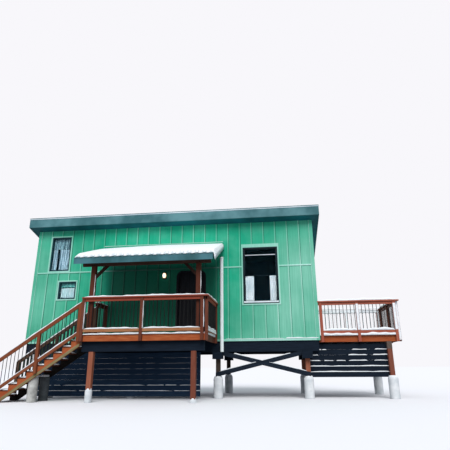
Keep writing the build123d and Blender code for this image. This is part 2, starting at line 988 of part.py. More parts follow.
def stair_rail(near_y, head_foot):
    """Add a stair's guard rail: newel, middle and head posts, two rails and balusters."""
    middle = near_y + rail_post_size / 2
    post_y = (near_y, near_y + rail_post_size)
    rail_y = (middle - rail_thickness / 2, middle + rail_thickness / 2)
    bar_y = (middle - baluster_size / 2, middle + baluster_size / 2)
    for post_x, foot in ((newel_x, 0), (head_x, head_foot)):
        post_top = nosing_line(post_x) + handrail_over_nosing - handrail_height / 2
        block((post_x, post_x + rail_post_size), post_y, (foot, post_top))
    mid_end = mid_x + rail_post_size
    mid_top = nosing_line(mid_x) + handrail_over_nosing - handrail_height / 2
    front_profile(
        [
            (mid_x, post_foot(mid_x)),
            (mid_end, post_foot(mid_end)),
            (mid_end, mid_top),
            (mid_x, mid_top),
        ],
        post_y,
    )
    span = (newel_x, deck_left)
    sloped_rail(handrail_over_nosing, handrail_height, rail_y, span)
    sloped_rail(low_stair_rail_over_nosing, low_stair_rail_height, rail_y, span)
    count = round((span[1] - span[0]) / baluster_pitch)
    pitch = (span[1] - span[0]) / count
    for bar in range(1, count):
        spot = span[0] + bar * pitch
        low = nosing_line(spot) + low_stair_rail_over_nosing - low_stair_rail_height / 2
        high = nosing_line(spot) + handrail_over_nosing - handrail_height / 2
        block((spot - baluster_size / 2, spot + baluster_size / 2), bar_y, (low, high))


with BuildPart() as stair_railing_near:
    stair_rail(stair_near - rail_post_size, rim_foot)
finish(stair_railing_near, "stair_railing_near")

with BuildPart() as stair_railing_far:
    stair_rail(stair_far, rim_foot)
finish(stair_railing_far, "stair_railing_far")

# Concrete under the posts of the house, the porch deck, the stairs and the side deck
with BuildPart() as concrete_piers:
    for place in pier_places:
        for row in post_rows:
            column(place, sum(row) / 2, pier_diameter, (0, house_pier_height))
    for place, pier_height in zip(deck_posts_x, deck_pier_heights):
        column(place, y0 - deck_beam_line, deck_pier_diameter, (0, pier_height))
    for pier_y in (
        stringer_rows[0][1] + stair_pier_diameter / 2,
        stringer_rows[1][0] - stair_pier_diameter / 2,
    ):
        column(stair_pier_x, pier_y, stair_pier_diameter, (0, stair_pier_height))
    for row in side_post_rows:
        column(sum(side_post_x) / 2, sum(row) / 2, pier_diameter, (0, house_pier_height))
finish(concrete_piers, "concrete_piers")

# Side deck guard rails
with BuildPart(rail_plane(side_left, side_front - rail_post_size, (1, 0, 0))) as side_railing_front:
    guard_rail(
        side_deck_width,
        (
            side_first_post,
            side_deck_width - side_middle_from_end,
            side_deck_width - side_last_from_end - rail_post_size,
        ),
        (0, side_deck_width + rail_post_size + cap_overhang),
    )
finish(side_railing_front, "side_railing_front")

with BuildPart(rail_plane(side_right + rail_post_size, side_front, (0, 1, 0))) as side_railing_end:
    guard_rail(
        side_deck_depth,
        (0, (side_deck_depth - rail_post_size) / 2, side_deck_depth - rail_post_size),
        (cap_overhang, side_deck_depth - cap_overhang),
    )
finish(side_railing_end, "side_railing_end")

with BuildPart(rail_plane(side_right, side_rear + rail_post_size, (-1, 0, 0))) as side_railing_rear:
    guard_rail(
        side_deck_width,
        (
            side_last_from_end,
            side_middle_from_end - rail_post_size,
            side_deck_width - side_first_post - rail_post_size,
        ),
        (-rail_post_size - cap_overhang, side_deck_width),
    )
finish(side_railing_rear, "side_railing_rear")

# Horizontal slats under the side deck and behind the porch
slat_y = (post_rows[0][1], post_rows[0][1] + slat_thickness)
slat_pitch = slat_height + slat_gap
with BuildPart() as side_slats:
    side_slat_top = z0 - side_slat_drop
    for row in range(side_slat_count):
        top = side_slat_top - row * slat_pitch
        left = pier_places[0] - post_size / 2
        if top > girder_foot:
            left = pier_places[0] + girder_width / 2
        right = side_girder_x[0] if top > side_girder_foot else side_post_x[1]
        block((left, right), slat_y, (top - slat_height, top))
    foot = side_slat_top - (side_slat_count - 1) * slat_pitch - slat_height
    stud_y = (slat_y[1], slat_y[1] + slat_thickness)
    stud_first = pier_places[0] + girder_width / 2
    stud_last = side_girder_x[0] - slat_stud_width
    for stud_left in (stud_first, (stud_first + stud_last) / 2, stud_last):
        block((stud_left, stud_left + slat_stud_width), stud_y, (foot, side_slat_top))
finish(side_slats, "side_slats")

with BuildPart() as porch_skirting:
    skirt_x = (x0 + skirt_left, x0 + skirt_right)
    skirt_y = (bolster_rows[0][0] - slat_thickness, bolster_rows[0][0])
    skirt_slat_height = slat_pitch - skirt_slat_gap
    for row in range(skirt_slat_count):
        top = girder_foot - row * slat_pitch
        block(skirt_x, skirt_y, (top - skirt_slat_height, top))
    foot = girder_foot - (skirt_slat_count - 1) * slat_pitch - skirt_slat_height
    stud_y = (skirt_y[1], skirt_y[1] + slat_thickness)
    stud_step = (skirt_x[1] - skirt_x[0] - slat_stud_width) / (skirt_stud_count - 1)
    for stud in range(skirt_stud_count):
        stud_left = skirt_x[0] + stud * stud_step
        block((stud_left, stud_left + slat_stud_width), stud_y, (foot, girder_foot))
finish(porch_skirting, "porch_skirting")
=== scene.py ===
"""Looks of the tiny house on posts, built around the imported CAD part.

X runs along the front wall to the right, Y into the house and Z up, in metres. The places of
all pieces are worked out from the boxes of the CAD nodes and from a few real board sizes.
"""

import math

import bpy
import numpy as np
from mathutils import Matrix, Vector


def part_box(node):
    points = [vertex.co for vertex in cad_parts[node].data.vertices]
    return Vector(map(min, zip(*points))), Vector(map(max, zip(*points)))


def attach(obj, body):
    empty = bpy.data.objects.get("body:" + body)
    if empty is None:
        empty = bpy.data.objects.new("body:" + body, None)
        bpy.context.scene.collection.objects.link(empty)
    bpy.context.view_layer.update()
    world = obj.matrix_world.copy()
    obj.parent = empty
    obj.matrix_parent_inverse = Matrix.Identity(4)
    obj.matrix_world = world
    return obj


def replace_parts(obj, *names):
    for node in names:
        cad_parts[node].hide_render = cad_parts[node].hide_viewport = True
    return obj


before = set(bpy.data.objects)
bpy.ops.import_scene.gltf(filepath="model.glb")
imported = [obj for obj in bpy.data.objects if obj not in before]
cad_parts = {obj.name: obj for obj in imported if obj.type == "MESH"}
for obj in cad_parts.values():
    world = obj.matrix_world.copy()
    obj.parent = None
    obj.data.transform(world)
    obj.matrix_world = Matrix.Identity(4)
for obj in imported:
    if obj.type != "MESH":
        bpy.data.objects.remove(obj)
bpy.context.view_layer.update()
X, Y, Z = np.eye(3)
RANDOM = np.random.default_rng(7)

# Real sizes of boards and fittings
BATTEN_PITCH = 0.4064
FIRST_BATTEN = 0.0784
BATTEN_WIDTH = 0.037
BATTEN_DEPTH = 0.016
JOINT_WIDTH = 0.018
JOINT_DEPTH = 0.004
TRIM_DEPTH = 0.021
CORNER_WIDTH = 0.090
EDGE_STRIP = 0.014
BELT_HEIGHT = 2.438
BELT_WIDTH = 0.045
PICTURE_HEAD = 0.12
FOOT_TRIM_WIDTH = 0.070
ROOF_RIB_PITCH = 0.229
ROOF_RIB_HEIGHT = 0.019
ROOF_SHEET = 0.005
PORCH_SLOPE = 0.4
FRAME_FACE = 0.045
BOARD_CHAMFER = 0.004
RAIL_POST = 0.089
CAP_WIDTH = 0.140
CAP_THICKNESS = 0.038
RAIL_THICKNESS = 0.038
RAIL_HEIGHT = 0.089
LOW_RAIL_GAP = 0.050
BALUSTER_RADIUS = 0.0095
BALUSTER_PITCH = 0.115
PICKET_WIDTH = 0.062
PICKET_THICKNESS = 0.018
SIDE_POST_INSET = 0.055
SIDE_POST_PLACE = 1.230
DECK_BOARD = 0.140
DECK_BOARD_GAP = 0.006
JOIST = 0.038
SLAT_PITCH = 0.165
SLAT_HEIGHT = 0.164
SLAT_THICKNESS = 0.025
STUD = 0.090
BRACE_BOARD = 0.140
STAIR_POST_PLACE = 1.585
HANDRAIL_OVER = 0.950
HANDRAIL_DEPTH = 0.127
STAIR_LOW_OVER = 0.115
STAIR_LOW_DEPTH = 0.105
STAIR_EDGE_BOARD = 0.092
STRINGER_DEPTH = 0.344
STAIR_PIER_OVER = 0.65
PIPE_RADIUS = 0.057
DOOR_SHOULDER = 0.21
# How far snow sinks into what carries it
SINK = 0.002


def node_box(name):
    """Lowest and highest corners of a CAD node, as arrays."""
    low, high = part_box(name)
    return np.array(low), np.array(high)


(HOUSE_LEFT, FRONT, SIDING_FOOT), (HOUSE_RIGHT, REAR, _) = node_box("floor_platform")
WALL_TOP = node_box("front_wall_left")[1][2]
REAR_WALL = node_box("rear_wall")
ROOF_SLOPE = (WALL_TOP - REAR_WALL[1][2]) / (REAR_WALL[0][1] - FRONT)
FOOT_TRIM_TOP = SIDING_FOOT + FOOT_TRIM_WIDTH
STAIR_MIDDLE = sum(corner[1] for corner in node_box("stair_treads")) / 2
MAIN_METAL = node_box("main_roof_metal")
PORCH_METAL = node_box("porch_roof_metal")
PORCH_ROOF = node_box("porch_roof")
DOOR_FRAME = node_box("door_frame")
END_DOOR = node_box("end_door")
LAMP_GLASS = node_box("porch_lamp_glass")


def roof_under(y):
    """Height of the main roof's underside at y."""
    return WALL_TOP - ROOF_SLOPE * (y - FRONT)


# Meshes


def new_piece(name, points, faces, finish, smooth, uv=None):
    """An object at the origin on the house's body. uv is the name of a UV map and a pair of
    pattern coordinates in metres for every point."""
    mesh = bpy.data.meshes.new(name)
    mesh.from_pydata(points.reshape(-1, 3).tolist(), [], faces)
    if uv:
        loops = np.empty(len(mesh.loops), np.int32)
        mesh.loops.foreach_get("vertex_index", loops)
        layer = mesh.uv_layers.new(name=uv[0])
        layer.data.foreach_set("uv", uv[1].reshape(-1, 2)[loops].ravel())
    mesh.polygons.foreach_set("use_smooth", np.full(len(mesh.polygons), smooth))
    mesh.update()
    mesh.materials.append(finish)
    piece = bpy.data.objects.new(name, mesh)
    bpy.context.scene.collection.objects.link(piece)
    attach(piece, "house")
    return piece


def lofted(name, rings, finish, smooth=False, uv=None):
    """Closed shells over rings of points.

    The axes of rings are shell, station along it, point round the ring, and x y z. Neighbouring
    rings are joined with four-cornered faces, and the first and last ring are closed with a face
    each. A shell whose signed volume comes out negative has its rings turned round.
    """
    rings = np.asarray(rings, float)
    shells, stations, around = rings.shape[:3]
    here = rings - rings.mean(axis=(1, 2), keepdims=True)
    next_round = np.roll(here, -1, axis=2)
    wall = np.cross(next_round - here, np.roll(here, -1, axis=1) - here)[:, :-1]
    volume = (wall * here[:, :-1]).sum(axis=(1, 2, 3))
    order = np.where(volume[:, None] < 0, np.arange(around)[::-1], np.arange(around))
    index = np.arange(shells * stations * around).reshape(shells, stations, around)
    index = np.take_along_axis(index, np.broadcast_to(order[:, None], index.shape), axis=2)
    beside = np.roll(index, -1, axis=2)
    sides = np.stack([index[:, :-1], beside[:, :-1], beside[:, 1:], index[:, 1:]], axis=-1)
    faces = sides.reshape(-1, 4).tolist() + index[:, 0, ::-1].tolist() + index[:, -1].tolist()
    return new_piece(name, rings, faces, finish, smooth, uv)


def beam(x_range, y_range, z_range):
    """The run of a timber that fills three ranges, along the longest of them.

    A run is its start point, its end point, and the two vectors across it.
    """
    low, high = np.array([x_range, y_range, z_range], float).T
    size = high - low
    along = int(np.argmax(size))
    start = (low + high) / 2
    end = start.copy()
    start[along] = low[along]
    end[along] = high[along]
    return [start, end, *(np.eye(3)[axis] * size[axis] for axis in range(3) if axis != along)]


def boards(name, runs, finish, chamfer=BOARD_CHAMFER):
    """Timbers, each an eight-cornered section carried from its start to its end. A run may also
    be the three ranges that it fills.

    A point is the start or end of the run, plus a share of the vector across it, plus a share
    of the vector up it. The shares are those of a square with its corners cut off by the chamfer.
    """
    runs = np.array([beam(*run) if len(run) == 3 else run for run in runs], float)
    ends, across, up = runs[:, :2], runs[:, 2], runs[:, 3]
    sizes = np.stack([np.linalg.norm(across, axis=1), np.linalg.norm(up, axis=1)], axis=1)
    cut = np.minimum(chamfer, sizes.min(axis=1) / 4)
    corner = np.array([[1, -1], [1, 1], [1, 1], [-1, 1], [-1, 1], [-1, -1], [-1, -1], [1, -1]])
    trimmed = np.array([[0, 1], [0, 1], [1, 0], [1, 0]] * 2)
    shares = corner / 2 - corner * trimmed * (cut[:, None, None] / sizes[:, None])
    section = shares[..., :1] * across[:, None] + shares[..., 1:] * up[:, None]
    rings = ends[:, :, None] + section[:, None]
    length = np.linalg.norm(ends[:, 1] - ends[:, 0], axis=1)
    offset = RANDOM.uniform(0, 90, (len(runs), 1, 1, 2))
    along = np.stack([np.zeros(len(runs)), length], axis=1)[:, :, None]
    over = (shares * sizes[:, None]).sum(axis=2)[:, None]
    grain = np.stack(np.broadcast_arrays(along, over), axis=-1) + offset
    return lofted(name, rings, finish, uv=("grain", grain))


def balusters(name, bars):
    """Round bars: a circle in the plane across each bar, carried from its start to its end."""
    starts, ends = np.array(bars, float).transpose(1, 0, 2)
    along = ends - starts
    along /= np.linalg.norm(along, axis=1, keepdims=True)
    helper = np.where(np.abs(along[:, 2:]) > 0.9, X, Z)
    across = np.cross(helper, along)
    across /= np.linalg.norm(across, axis=1, keepdims=True)
    up = np.cross(along, across)
    angle = np.linspace(0, 2 * np.pi, 10, endpoint=False)[None, :, None]
    circle = BALUSTER_RADIUS * (np.cos(angle) * across[:, None] + np.sin(angle) * up[:, None])
    rings = np.stack([starts, ends], axis=1)[:, :, None] + circle[:, None]
    lofted(name, rings, BLACK_METAL)


def turned(name, centres, outline, finish, lump=0.0):
    """Turned pieces: a point is the centre, plus the outline's radius at its height in the
    direction of an angle round the piece. lump swells the radius with slow waves in the angle."""
    centres = np.array(centres, float)
    radius, height = np.array(outline, float).T
    angle = np.linspace(0, 2 * np.pi, 32, endpoint=False)
    wave = 1 + lump * np.sin(3 * angle + 5 * height[:, None]) * np.cos(2 * angle)
    x = centres[:, 0, None, None] + radius[:, None] * wave * np.cos(angle)
    y = centres[:, 1, None, None] + radius[:, None] * wave * np.sin(angle)
    z = np.broadcast_to(centres[:, 2, None, None] + height[:, None], x.shape)
    return lofted(name, np.stack([x, y, z], axis=-1), finish, smooth=True)


def snow_ridges(name, runs, stations=26, points=9, rough=0.16):
    """Snow that lies along an edge, one rounded ridge a run.

    Round the ridge the share of the vector across is half a cosine and the share of the vector
    up is a sine to the power 0.6. Along it the height is lowered near both ends and waves with
    three sines of random phase.
    """
    runs = np.array(runs, float)
    start, end, across, up = (runs[:, i][:, None, None] for i in range(4))
    along = np.linspace(0, 1, stations)[None, :, None, None]
    turn = np.linspace(0, np.pi, points)[None, None, :, None]
    length = np.linalg.norm(end - start, axis=-1, keepdims=True)
    phase = RANDOM.uniform(0, 2 * np.pi, (3, len(runs), 1, 1, 1))
    waves = sum(np.sin(speed * length * along + phase[i]) for i, speed in enumerate((3.1, 7.7, 17.0)))
    taper = (1 - (2 * along - 1) ** 12) ** 0.5
    height = taper * (1 + rough * waves) / (1 + 2 * rough) + 0.03
    width = 0.94 + 0.05 * waves / 3
    middle = start + along * (end - start)
    rings = middle + 0.5 * np.cos(turn) * width * across + np.sin(turn) ** 0.6 * height * up
    lofted(name, rings, SNOW, smooth=True)


def lying(span, beside, z, wide, tall, along=X):
    """A level run of snow over a span along X or Y, at a place beside it and a height."""
    across = X + Y - along
    foot = across * beside + Z * z
    return [foot + along * span[0], foot + along * span[1], across * wide, Z * tall]


def standing(x, y, foot, top, across, out):
    """An upright run of blown snow."""
    return [[x, y, foot], [x, y, top], across, out]


# Materials


def linear(colour):
    """An sRGB hex colour as linear red, green and blue, with full alpha."""
    shares = [int(colour[i : i + 2], 16) / 255 for i in (1, 3, 5)]
    return (*(s / 12.92 if s <= 0.04045 else ((s + 0.055) / 1.055) ** 2.4 for s in shares), 1.0)


def feed(node, links):
    """Give a node's inputs a value, a hex colour, or what another node or socket puts out."""
    for key, value in links.items():
        if isinstance(value, str):
            value = linear(value)
        if isinstance(value, bpy.types.Node):
            value = next(socket for socket in value.outputs if socket.enabled)
        if isinstance(value, bpy.types.NodeSocket):
            node.id_data.links.new(value, node.inputs[key])
        else:
            node.inputs[key].default_value = value
    return node


def add(tree, kind, links, **settings):
    """Add a node with its settings and links."""
    node = tree.nodes.new("ShaderNode" + kind)
    for key, value in settings.items():
        setattr(node, key, value)
    return feed(node, links)


def new_finish(name, uv_map="", **plain):
    """A material, its tree, its shader with its plain settings, and the pattern's coordinates:
    those of the object in metres, or of a UV map."""
    material = bpy.data.materials.new(name)
    material.use_nodes = True
    tree = material.node_tree
    shader = tree.nodes["Principled BSDF"]
    feed(shader, {key.replace("_", " "): value for key, value in plain.items()})
    if uv_map:
        return material, tree, shader, add(tree, "UVMap", {}, uv_map=uv_map)
    return material, tree, shader, add(tree, "TexCoord", {}).outputs["Object"]


def pattern(tree, place, scale=1.0, detail=3.0, stretch=(1, 1, 1), low=0.35, high=0.65):
    """Noise on stretched coordinates, spread to the range from 0 to 1."""
    stretched = add(tree, "Mapping", {"Vector": place, "Scale": stretch})
    clouds = add(tree, "TexNoise", {"Vector": stretched, "Scale": scale, "Detail": detail})
    return add(tree, "MapRange", {"Value": clouds, "From Min": low, "From Max": high})


def layers(tree, base, *coats):
    """A colour with coats over it. A coat is where it lies, how strongly, and its colour."""
    for share, strength, colour in coats:
        if strength != 1:
            share = add(tree, "Math", {0: share, 1: strength}, operation="MULTIPLY")
        base = add(tree, "Mix", {0: share, 6: base, 7: colour}, data_type="RGBA")
    return base


def cover(shader, colour, relief=None, strength=0.0, distance=0.0):
    """Give a shader its colour, and raise the surface by a pattern."""
    feed(shader, {"Base Color": colour})
    if relief:
        sizes = {"Height": relief, "Strength": strength, "Distance": distance}
        feed(shader, {"Normal": add(shader.id_data, "Bump", sizes)})


def step_along(tree, place, axis, start, end):
    """A smooth step from 0 to 1 between two places along an axis, 0 for X to 2 for Z."""
    split = add(tree, "SeparateXYZ", {0: place})
    span = {"Value": split.outputs[axis], "From Min": start, "From Max": end}
    return add(tree, "MapRange", span, interpolation_type="SMOOTHSTEP")


def within(tree, place, *ranges, soft=0.002):
    """1 inside a box in space and 0 outside it: the product of an upward and a downward step
    along each axis."""
    share = 1.0
    for axis, (start, end) in enumerate(ranges):
        rise = step_along(tree, place, axis, start - soft, start + soft)
        fall = step_along(tree, place, axis, end - soft, end + soft)
        inside = add(tree, "Math", {0: rise, 1: fall}, operation="SUBTRACT")
        share = add(tree, "Math", {0: inside, 1: share}, operation="MULTIPLY")
    return share


# Painted light: the share by which the paint is drawn paler.
def weathered(tree, place):
    """How far painted light makes the paint paler: fully at the open right end, from further left
    near the foot of the wall, less at the left end, and little under the eave."""
    split = add(tree, "SeparateXYZ", {0: place})
    leaning = {0: split.outputs[2], 1: -0.45, 2: split.outputs[0]}
    slant = add(tree, "Math", leaning, operation="MULTIPLY_ADD")
    span = {"Value": slant, "From Min": -0.75, "From Max": 1.75}
    right = add(tree, "MapRange", span, interpolation_type="SMOOTHSTEP")
    left = step_along(tree, place, 0, -3.6, -6.2)
    some = add(tree, "Math", {0: left, 1: 0.55}, operation="MULTIPLY")
    most = add(tree, "Math", {0: right, 1: some}, operation="MAXIMUM")
    eave = step_along(tree, place, 2, WALL_TOP - 0.2, WALL_TOP - 1.2)
    under = add(tree, "MapRange", {"Value": eave, "To Min": 0.35, "To Max": 1.0})
    return add(tree, "Math", {0: most, 1: under}, operation="MULTIPLY")


def green_paint(name, fresh_pair, pale_pair, deep, streak):
    """Green satin paint on wood-fibre panels: slow fading in patches about 1.5 m wide, rain
    streaks 40 mm wide and a breath of rime in patches half a metre wide. Towards the open ends
    of the house it is drawn paler, which is painted light, and under the porch roof deeper, which
    is painted shade. Indoors the same boards are dark slate-blue, painted shade for the dim rooms."""
    material, tree, shader, place = new_finish(name, Roughness=0.6, Specular_IOR_Level=0.15)
    fading = pattern(tree, place, 0.7)
    streaks = pattern(tree, place, stretch=(26, 26, 1.1))
    rime = pattern(tree, place, 1.9, 7, low=0.42, high=0.78)
    grain = pattern(tree, place, detail=5, stretch=(160, 160, 9))
    low, high = PORCH_ROOF
    porch = ((low[0] + 0.25, high[0] - 0.15), (FRONT - 0.8, FRONT + 0.8), (0.0, low[2] + 0.45))
    skin = 0.1
    rooms = (
        (HOUSE_LEFT + skin, HOUSE_RIGHT - skin),
        (FRONT + skin, REAR - skin),
        (SIDING_FOOT - skin, WALL_TOP + skin),
    )
    fresh = layers(tree, fresh_pair[0], (fading, 1, fresh_pair[1]))
    pale_paint = layers(tree, pale_pair[0], (fading, 1, pale_pair[1]))
    indoor_shade = layers(tree, "#17404F", (streaks, 1, "#27596B"))
    colour = layers(
        tree,
        fresh,
        # Painted light: the paler paint towards the open ends and the foot of the wall.
        (weathered(tree, place), 1, pale_paint),
        (streaks, 0.24, streak),
        (rime, 0.2, pale_pair[1]),
        # Painted shade: the deeper colour in a box under the porch roof.
        (within(tree, place, *porch, soft=0.22), 0.86, deep),
        # Painted shade: the dark slate-blue colour inside the rooms.
        (within(tree, place, *rooms), 1, indoor_shade),
    )
    cover(shader, colour, grain, 0.25, 0.002)
    return material


def mottled(name, dark, light, clouds, relief=None, rough=None, **plain):
    """A finish between two colours. clouds holds the scale, detail and stretch of its pattern,
    relief the scale, detail, strength and depth of the one that raises it, and rough the range
    of roughness over the pattern."""
    material, tree, shader, place = new_finish(name, **plain)
    patches = pattern(tree, place, *clouds)
    cover(shader, layers(tree, dark, (patches, 1, light)))
    if relief:
        cover(shader, shader.inputs["Base Color"].links[0].from_socket,
              pattern(tree, place, *relief[:2]), *relief[2:])
    if rough:
        span = {"Value": patches, "To Min": rough[0], "To Max": rough[1]}
        feed(shader, {"Roughness": add(tree, "MapRange", span)})
    return material


def painted_steel(name, dark, light, roughness, shine=0.25):
    """Oven-baked paint on steel or on trim boards: even colour with frost in cloudy patches."""
    plain = {"Roughness": roughness, "Specular_IOR_Level": shine}
    return mottled(name, dark, light, (1.6, 5), (9.0, 3, 0.1, 0.004), **plain)


def cast_concrete(name, dark, light):
    """Concrete cast in a paper tube: stained in patches, with pores of 3 to 6 mm."""
    return mottled(name, dark, light, (5.0, 5), (160.0, 4, 0.4, 0.003), Roughness=0.85)


def frame_paint():
    """Near-black satin paint on the window frames, dark teal left of the porch."""
    plain = {"Roughness": 0.45, "Specular_IOR_Level": 0.15}
    material, tree, shader, place = new_finish("dark_window_paint", **plain)
    patches = pattern(tree, place, 1.6, 5)
    teal = layers(tree, "#0E3138", (patches, 1, "#16434C"))
    black = layers(tree, "#08171F", (patches, 1, "#10262F"))
    cover(shader, layers(tree, teal, (step_along(tree, place, 0, -3.0, -2.9), 1, black)))
    return material


def timber(name, dark, middle, light, roughness=0.62, turn=None, part=None):
    """Stained softwood: grain lines 7 mm apart along each board over slow bands, and every board
    in its own tone. The pattern follows the board's own coordinates, or on a CAD piece the
    direction that the turn about Y gives it from level. part is an axis, where a step along it
    starts and ends, and the darker colour beyond it, a painted shade."""
    plain = {"Roughness": roughness, "Specular_IOR_Level": 0.12}
    in_place = turn is not None
    material, tree, shader, place = new_finish(name, "" if in_place else "grain", **plain)
    if in_place:
        place = add(tree, "Mapping", {"Vector": place, "Rotation": (0, turn, 0)})
    fine = (2.2, 150, 150) if in_place else (2.2, 150, 1)
    lines = pattern(tree, place, detail=4, stretch=fine)
    flow = pattern(tree, place, detail=2, stretch=(1.5, 14, 14) if in_place else (3, 24, 1))
    coats = [(flow, 1, light)]
    if not in_place:
        coats = [(pattern(tree, place, 0.11, 0), 1, light), (flow, 1, middle)]
    colour = layers(tree, middle, *coats, (lines, 0.55, dark))
    if part:
        axis, start, end, beyond = part
        step = step_along(tree, add(tree, "TexCoord", {}).outputs["Object"], axis, start, end)
        colour = layers(tree, colour, (step, 1, beyond))
    cover(shader, colour, lines, 0.3, 0.002)
    return material


def lamp_glass():
    """Frosted glass lit from inside by a warm bulb, brightest at its middle."""
    plain = {"Roughness": 0.4, "Emission_Strength": 1.5}
    material, tree, shader, place = new_finish("lit_frosted_glass", **plain)
    middle = [-(a + b) / 2 for a, b in zip(*LAMP_GLASS)]
    centred = add(tree, "Mapping", {"Vector": place, "Location": middle})
    flat = add(tree, "Mapping", {"Vector": centred, "Scale": (1.5, 0, 1)})
    away = add(tree, "VectorMath", {0: flat}, operation="LENGTH").outputs["Value"]
    span = {"Value": away, "From Min": 0.03, "From Max": 0.10}
    edge = add(tree, "MapRange", span, interpolation_type="SMOOTHSTEP")
    colour = layers(tree, "#FFFEFA", (edge, 1, "#FFD29A"))
    feed(shader, {"Base Color": colour, "Emission Color": colour})
    return material


def curtain_cotton(name, shade, light):
    """Plain woven cotton. The weave is drawn at 3 mm, coarser than the real 0.4 mm, so that it
    shows, on the cloth's own coordinates."""
    material, tree, shader, place = new_finish(name, "weave", Roughness=0.9, Sheen_Weight=0.2)
    split = add(tree, "SeparateXYZ", {0: place})
    threads = []
    for axis in (0, 1):
        turns = add(tree, "Math", {0: split.outputs[axis], 1: 2100.0}, operation="MULTIPLY")
        threads.append(add(tree, "Math", {0: turns}, operation="SINE"))
    weave = add(tree, "Math", {0: threads[0], 1: threads[1]}, operation="MULTIPLY")
    creases = pattern(tree, place, stretch=(22, 1.2, 1), low=0.42, high=0.58)
    cover(shader, layers(tree, shade, (creases, 1, light)), weave, 0.3, 0.001)
    return material


def dark_door_paint():
    """Near-black satin paint on a planked door: the planks are 260 mm wide, with a groove of
    8 mm between them."""
    plain = {"Roughness": 0.5, "Specular_IOR_Level": 0.15}
    material, tree, shader, place = new_finish("black_door_paint", **plain)
    split = add(tree, "SeparateXYZ", {0: place})
    planks = add(tree, "Math", {0: split.outputs[0], 1: 0.130}, operation="PINGPONG")
    groove = add(tree, "MapRange", {"Value": planks, "From Min": 0.0, "From Max": 0.004})
    worn = pattern(tree, place, stretch=(20, 20, 2))
    cover(shader, layers(tree, "#0E0F13", (worn, 1, "#1D2026")), groove, 0.8, 0.005)
    return material


# The fourth colour of each green paint is the painted shade under the porch roof.
SIDING = green_paint(
    "satin_painted_siding", ("#0F9F7A", "#22B48D"), ("#6EBFA3", "#8AD0B7"), "#0C5A45", "#13896A"
)
TRIM = green_paint(
    "pale_painted_trim", ("#7CCAB2", "#9EDCC9"), ("#A4DDCC", "#C4EDE2"), "#0B4637", "#66B79E"
)
BATTEN = green_paint(
    "satin_painted_batten", ("#3FB48F", "#74CDB0"), ("#8FD3BA", "#B8E8D8"), "#0B4F3D", "#3D9E82"
)
JOINT = green_paint(
    "shaded_panel_joint", ("#0F6A52", "#187A61"), ("#2F8068", "#3C8F77"), "#083A2D", "#0B5341"
)
ROOFING = painted_steel("painted_ribbed_steel", "#2E5F66", "#4A7A80", 0.4, 0.4)
FASCIA = painted_steel("painted_fascia_board", "#2F6369", "#5B8B91", 0.5)
PORCH_FASCIA = painted_steel("painted_porch_fascia", "#26565C", "#457680", 0.5)
SOFFIT = painted_steel("dark_painted_soffit", "#0C535B", "#126873", 0.6)
# Pale drip edge: partly real pale metal, partly a painted highlight along the eave.
EDGE_METAL = painted_steel("pale_drip_edge", "#B4C8D1", "#DCE7EC", 0.4)
PALE_METAL = painted_steel("pale_painted_rail", "#D3E1E7", "#F0F6F8", 0.4)
FLASHING = painted_steel("pale_green_flashing", "#A9CFC3", "#CFE6DE", 0.4)
BLACK_FRAME = frame_paint()
BLACK_METAL = painted_steel("black_powder_coat", "#060708", "#101112", 0.5, 0.2)
PINE = ("#763217", "#A5502B", "#C06F41")
STAINED = timber("stained_pine", *PINE)
# The underside of the deck boards, and the far stringer, are drawn near-black as painted shade
DECK_FOOT = node_box("deck_boards")[0][2]
DECK_WOOD = timber("stained_pine_deck", *PINE, part=(2, DECK_FOOT + 0.004, DECK_FOOT + 0.002, "#14181C"))
STAINED_CAP = timber("stained_pine_caps", "#722F20", "#9E4C38", "#B5634B")
STAIR_RAIL = timber("stained_pine_stair_rail", "#5A2A19", "#80442B", "#965D3F")
PORCH_CORNER = timber("stained_pine_rail_posts", "#4B2318", "#6B3A2A", "#7B4A39")
STAINED_WORN = timber("worn_pine_rails", "#7C482B", "#A56D46", "#BC8C66")
STAINED_SIDE = timber("stained_pine_side_caps", "#7C3F30", "#A85B48", "#BE735C")
STAINED_POST = timber("stained_pine_deck_posts", "#6C3824", "#A0614A", "#B87D62")
# Painted shade: a darker copy of the deck posts' stain.
SHADED_POST = timber("stained_pine_side_posts_painted_shade", "#54281C", "#7C4534", "#905847")
# Painted shade: grey-brown, darker stain for the left house post.
GREY_POST = timber("grey_pine_house_post_painted_shade", "#2A2320", "#4A3D36", "#5E5048")
# Painted shade: near-black pickets that draw the shade under the far stair rail.
PICKET_SHADE = timber("dark_pickets_painted_shade", "#141A17", "#243029", "#303F35")
# Painted shade: grey-brown stain darkened for the far stair rail's shaded side.
FAR_RAIL = timber("dark_pine_far_rail_painted_shade", "#2A1D16", "#4A352A", "#62503F")
# Painted shade: a darker copy of the stain for parts that lie in shade.
STAINED_SHADE = timber("stained_pine_painted_shade", "#3E1D13", "#5C3022", "#6E4233")
# Dark stain, darkened further as painted shade for the shade under the porch and the house.
SKIRT_TIMBER = timber("dark_stained_skirting_painted_shade", "#121F30", "#1E3249", "#2C435B", 0.8)
DARK_TIMBER = timber("dark_stained_beams_painted_shade", "#0A1017", "#121D2A", "#1C2938", 0.8)
GREY_TIMBER = timber("weathered_pine", "#57492F", "#877850", "#A39A78", 0.75)
BROWN_TIMBER = timber("weathered_brown_girder", "#3D342F", "#655850", "#7D7068", 0.75)
# Painted shade: the far stringer beyond the stair's middle is near-black.
STRINGER_WOOD = timber(
    "stained_pine_stringer", "#763217", "#A5502B", "#B9683F", turn=0.5896,
    part=(1, STAIR_MIDDLE - 0.01, STAIR_MIDDLE + 0.01, "#1A1512"),
)
KNEE_WOOD = timber("stained_pine_knees", "#1B0F0A", "#2E1A12", "#3E261B", turn=0.7854)
BEAM_WOOD = timber("stained_pine_beam", "#34221B", "#4C3128", "#604035", turn=0.0)
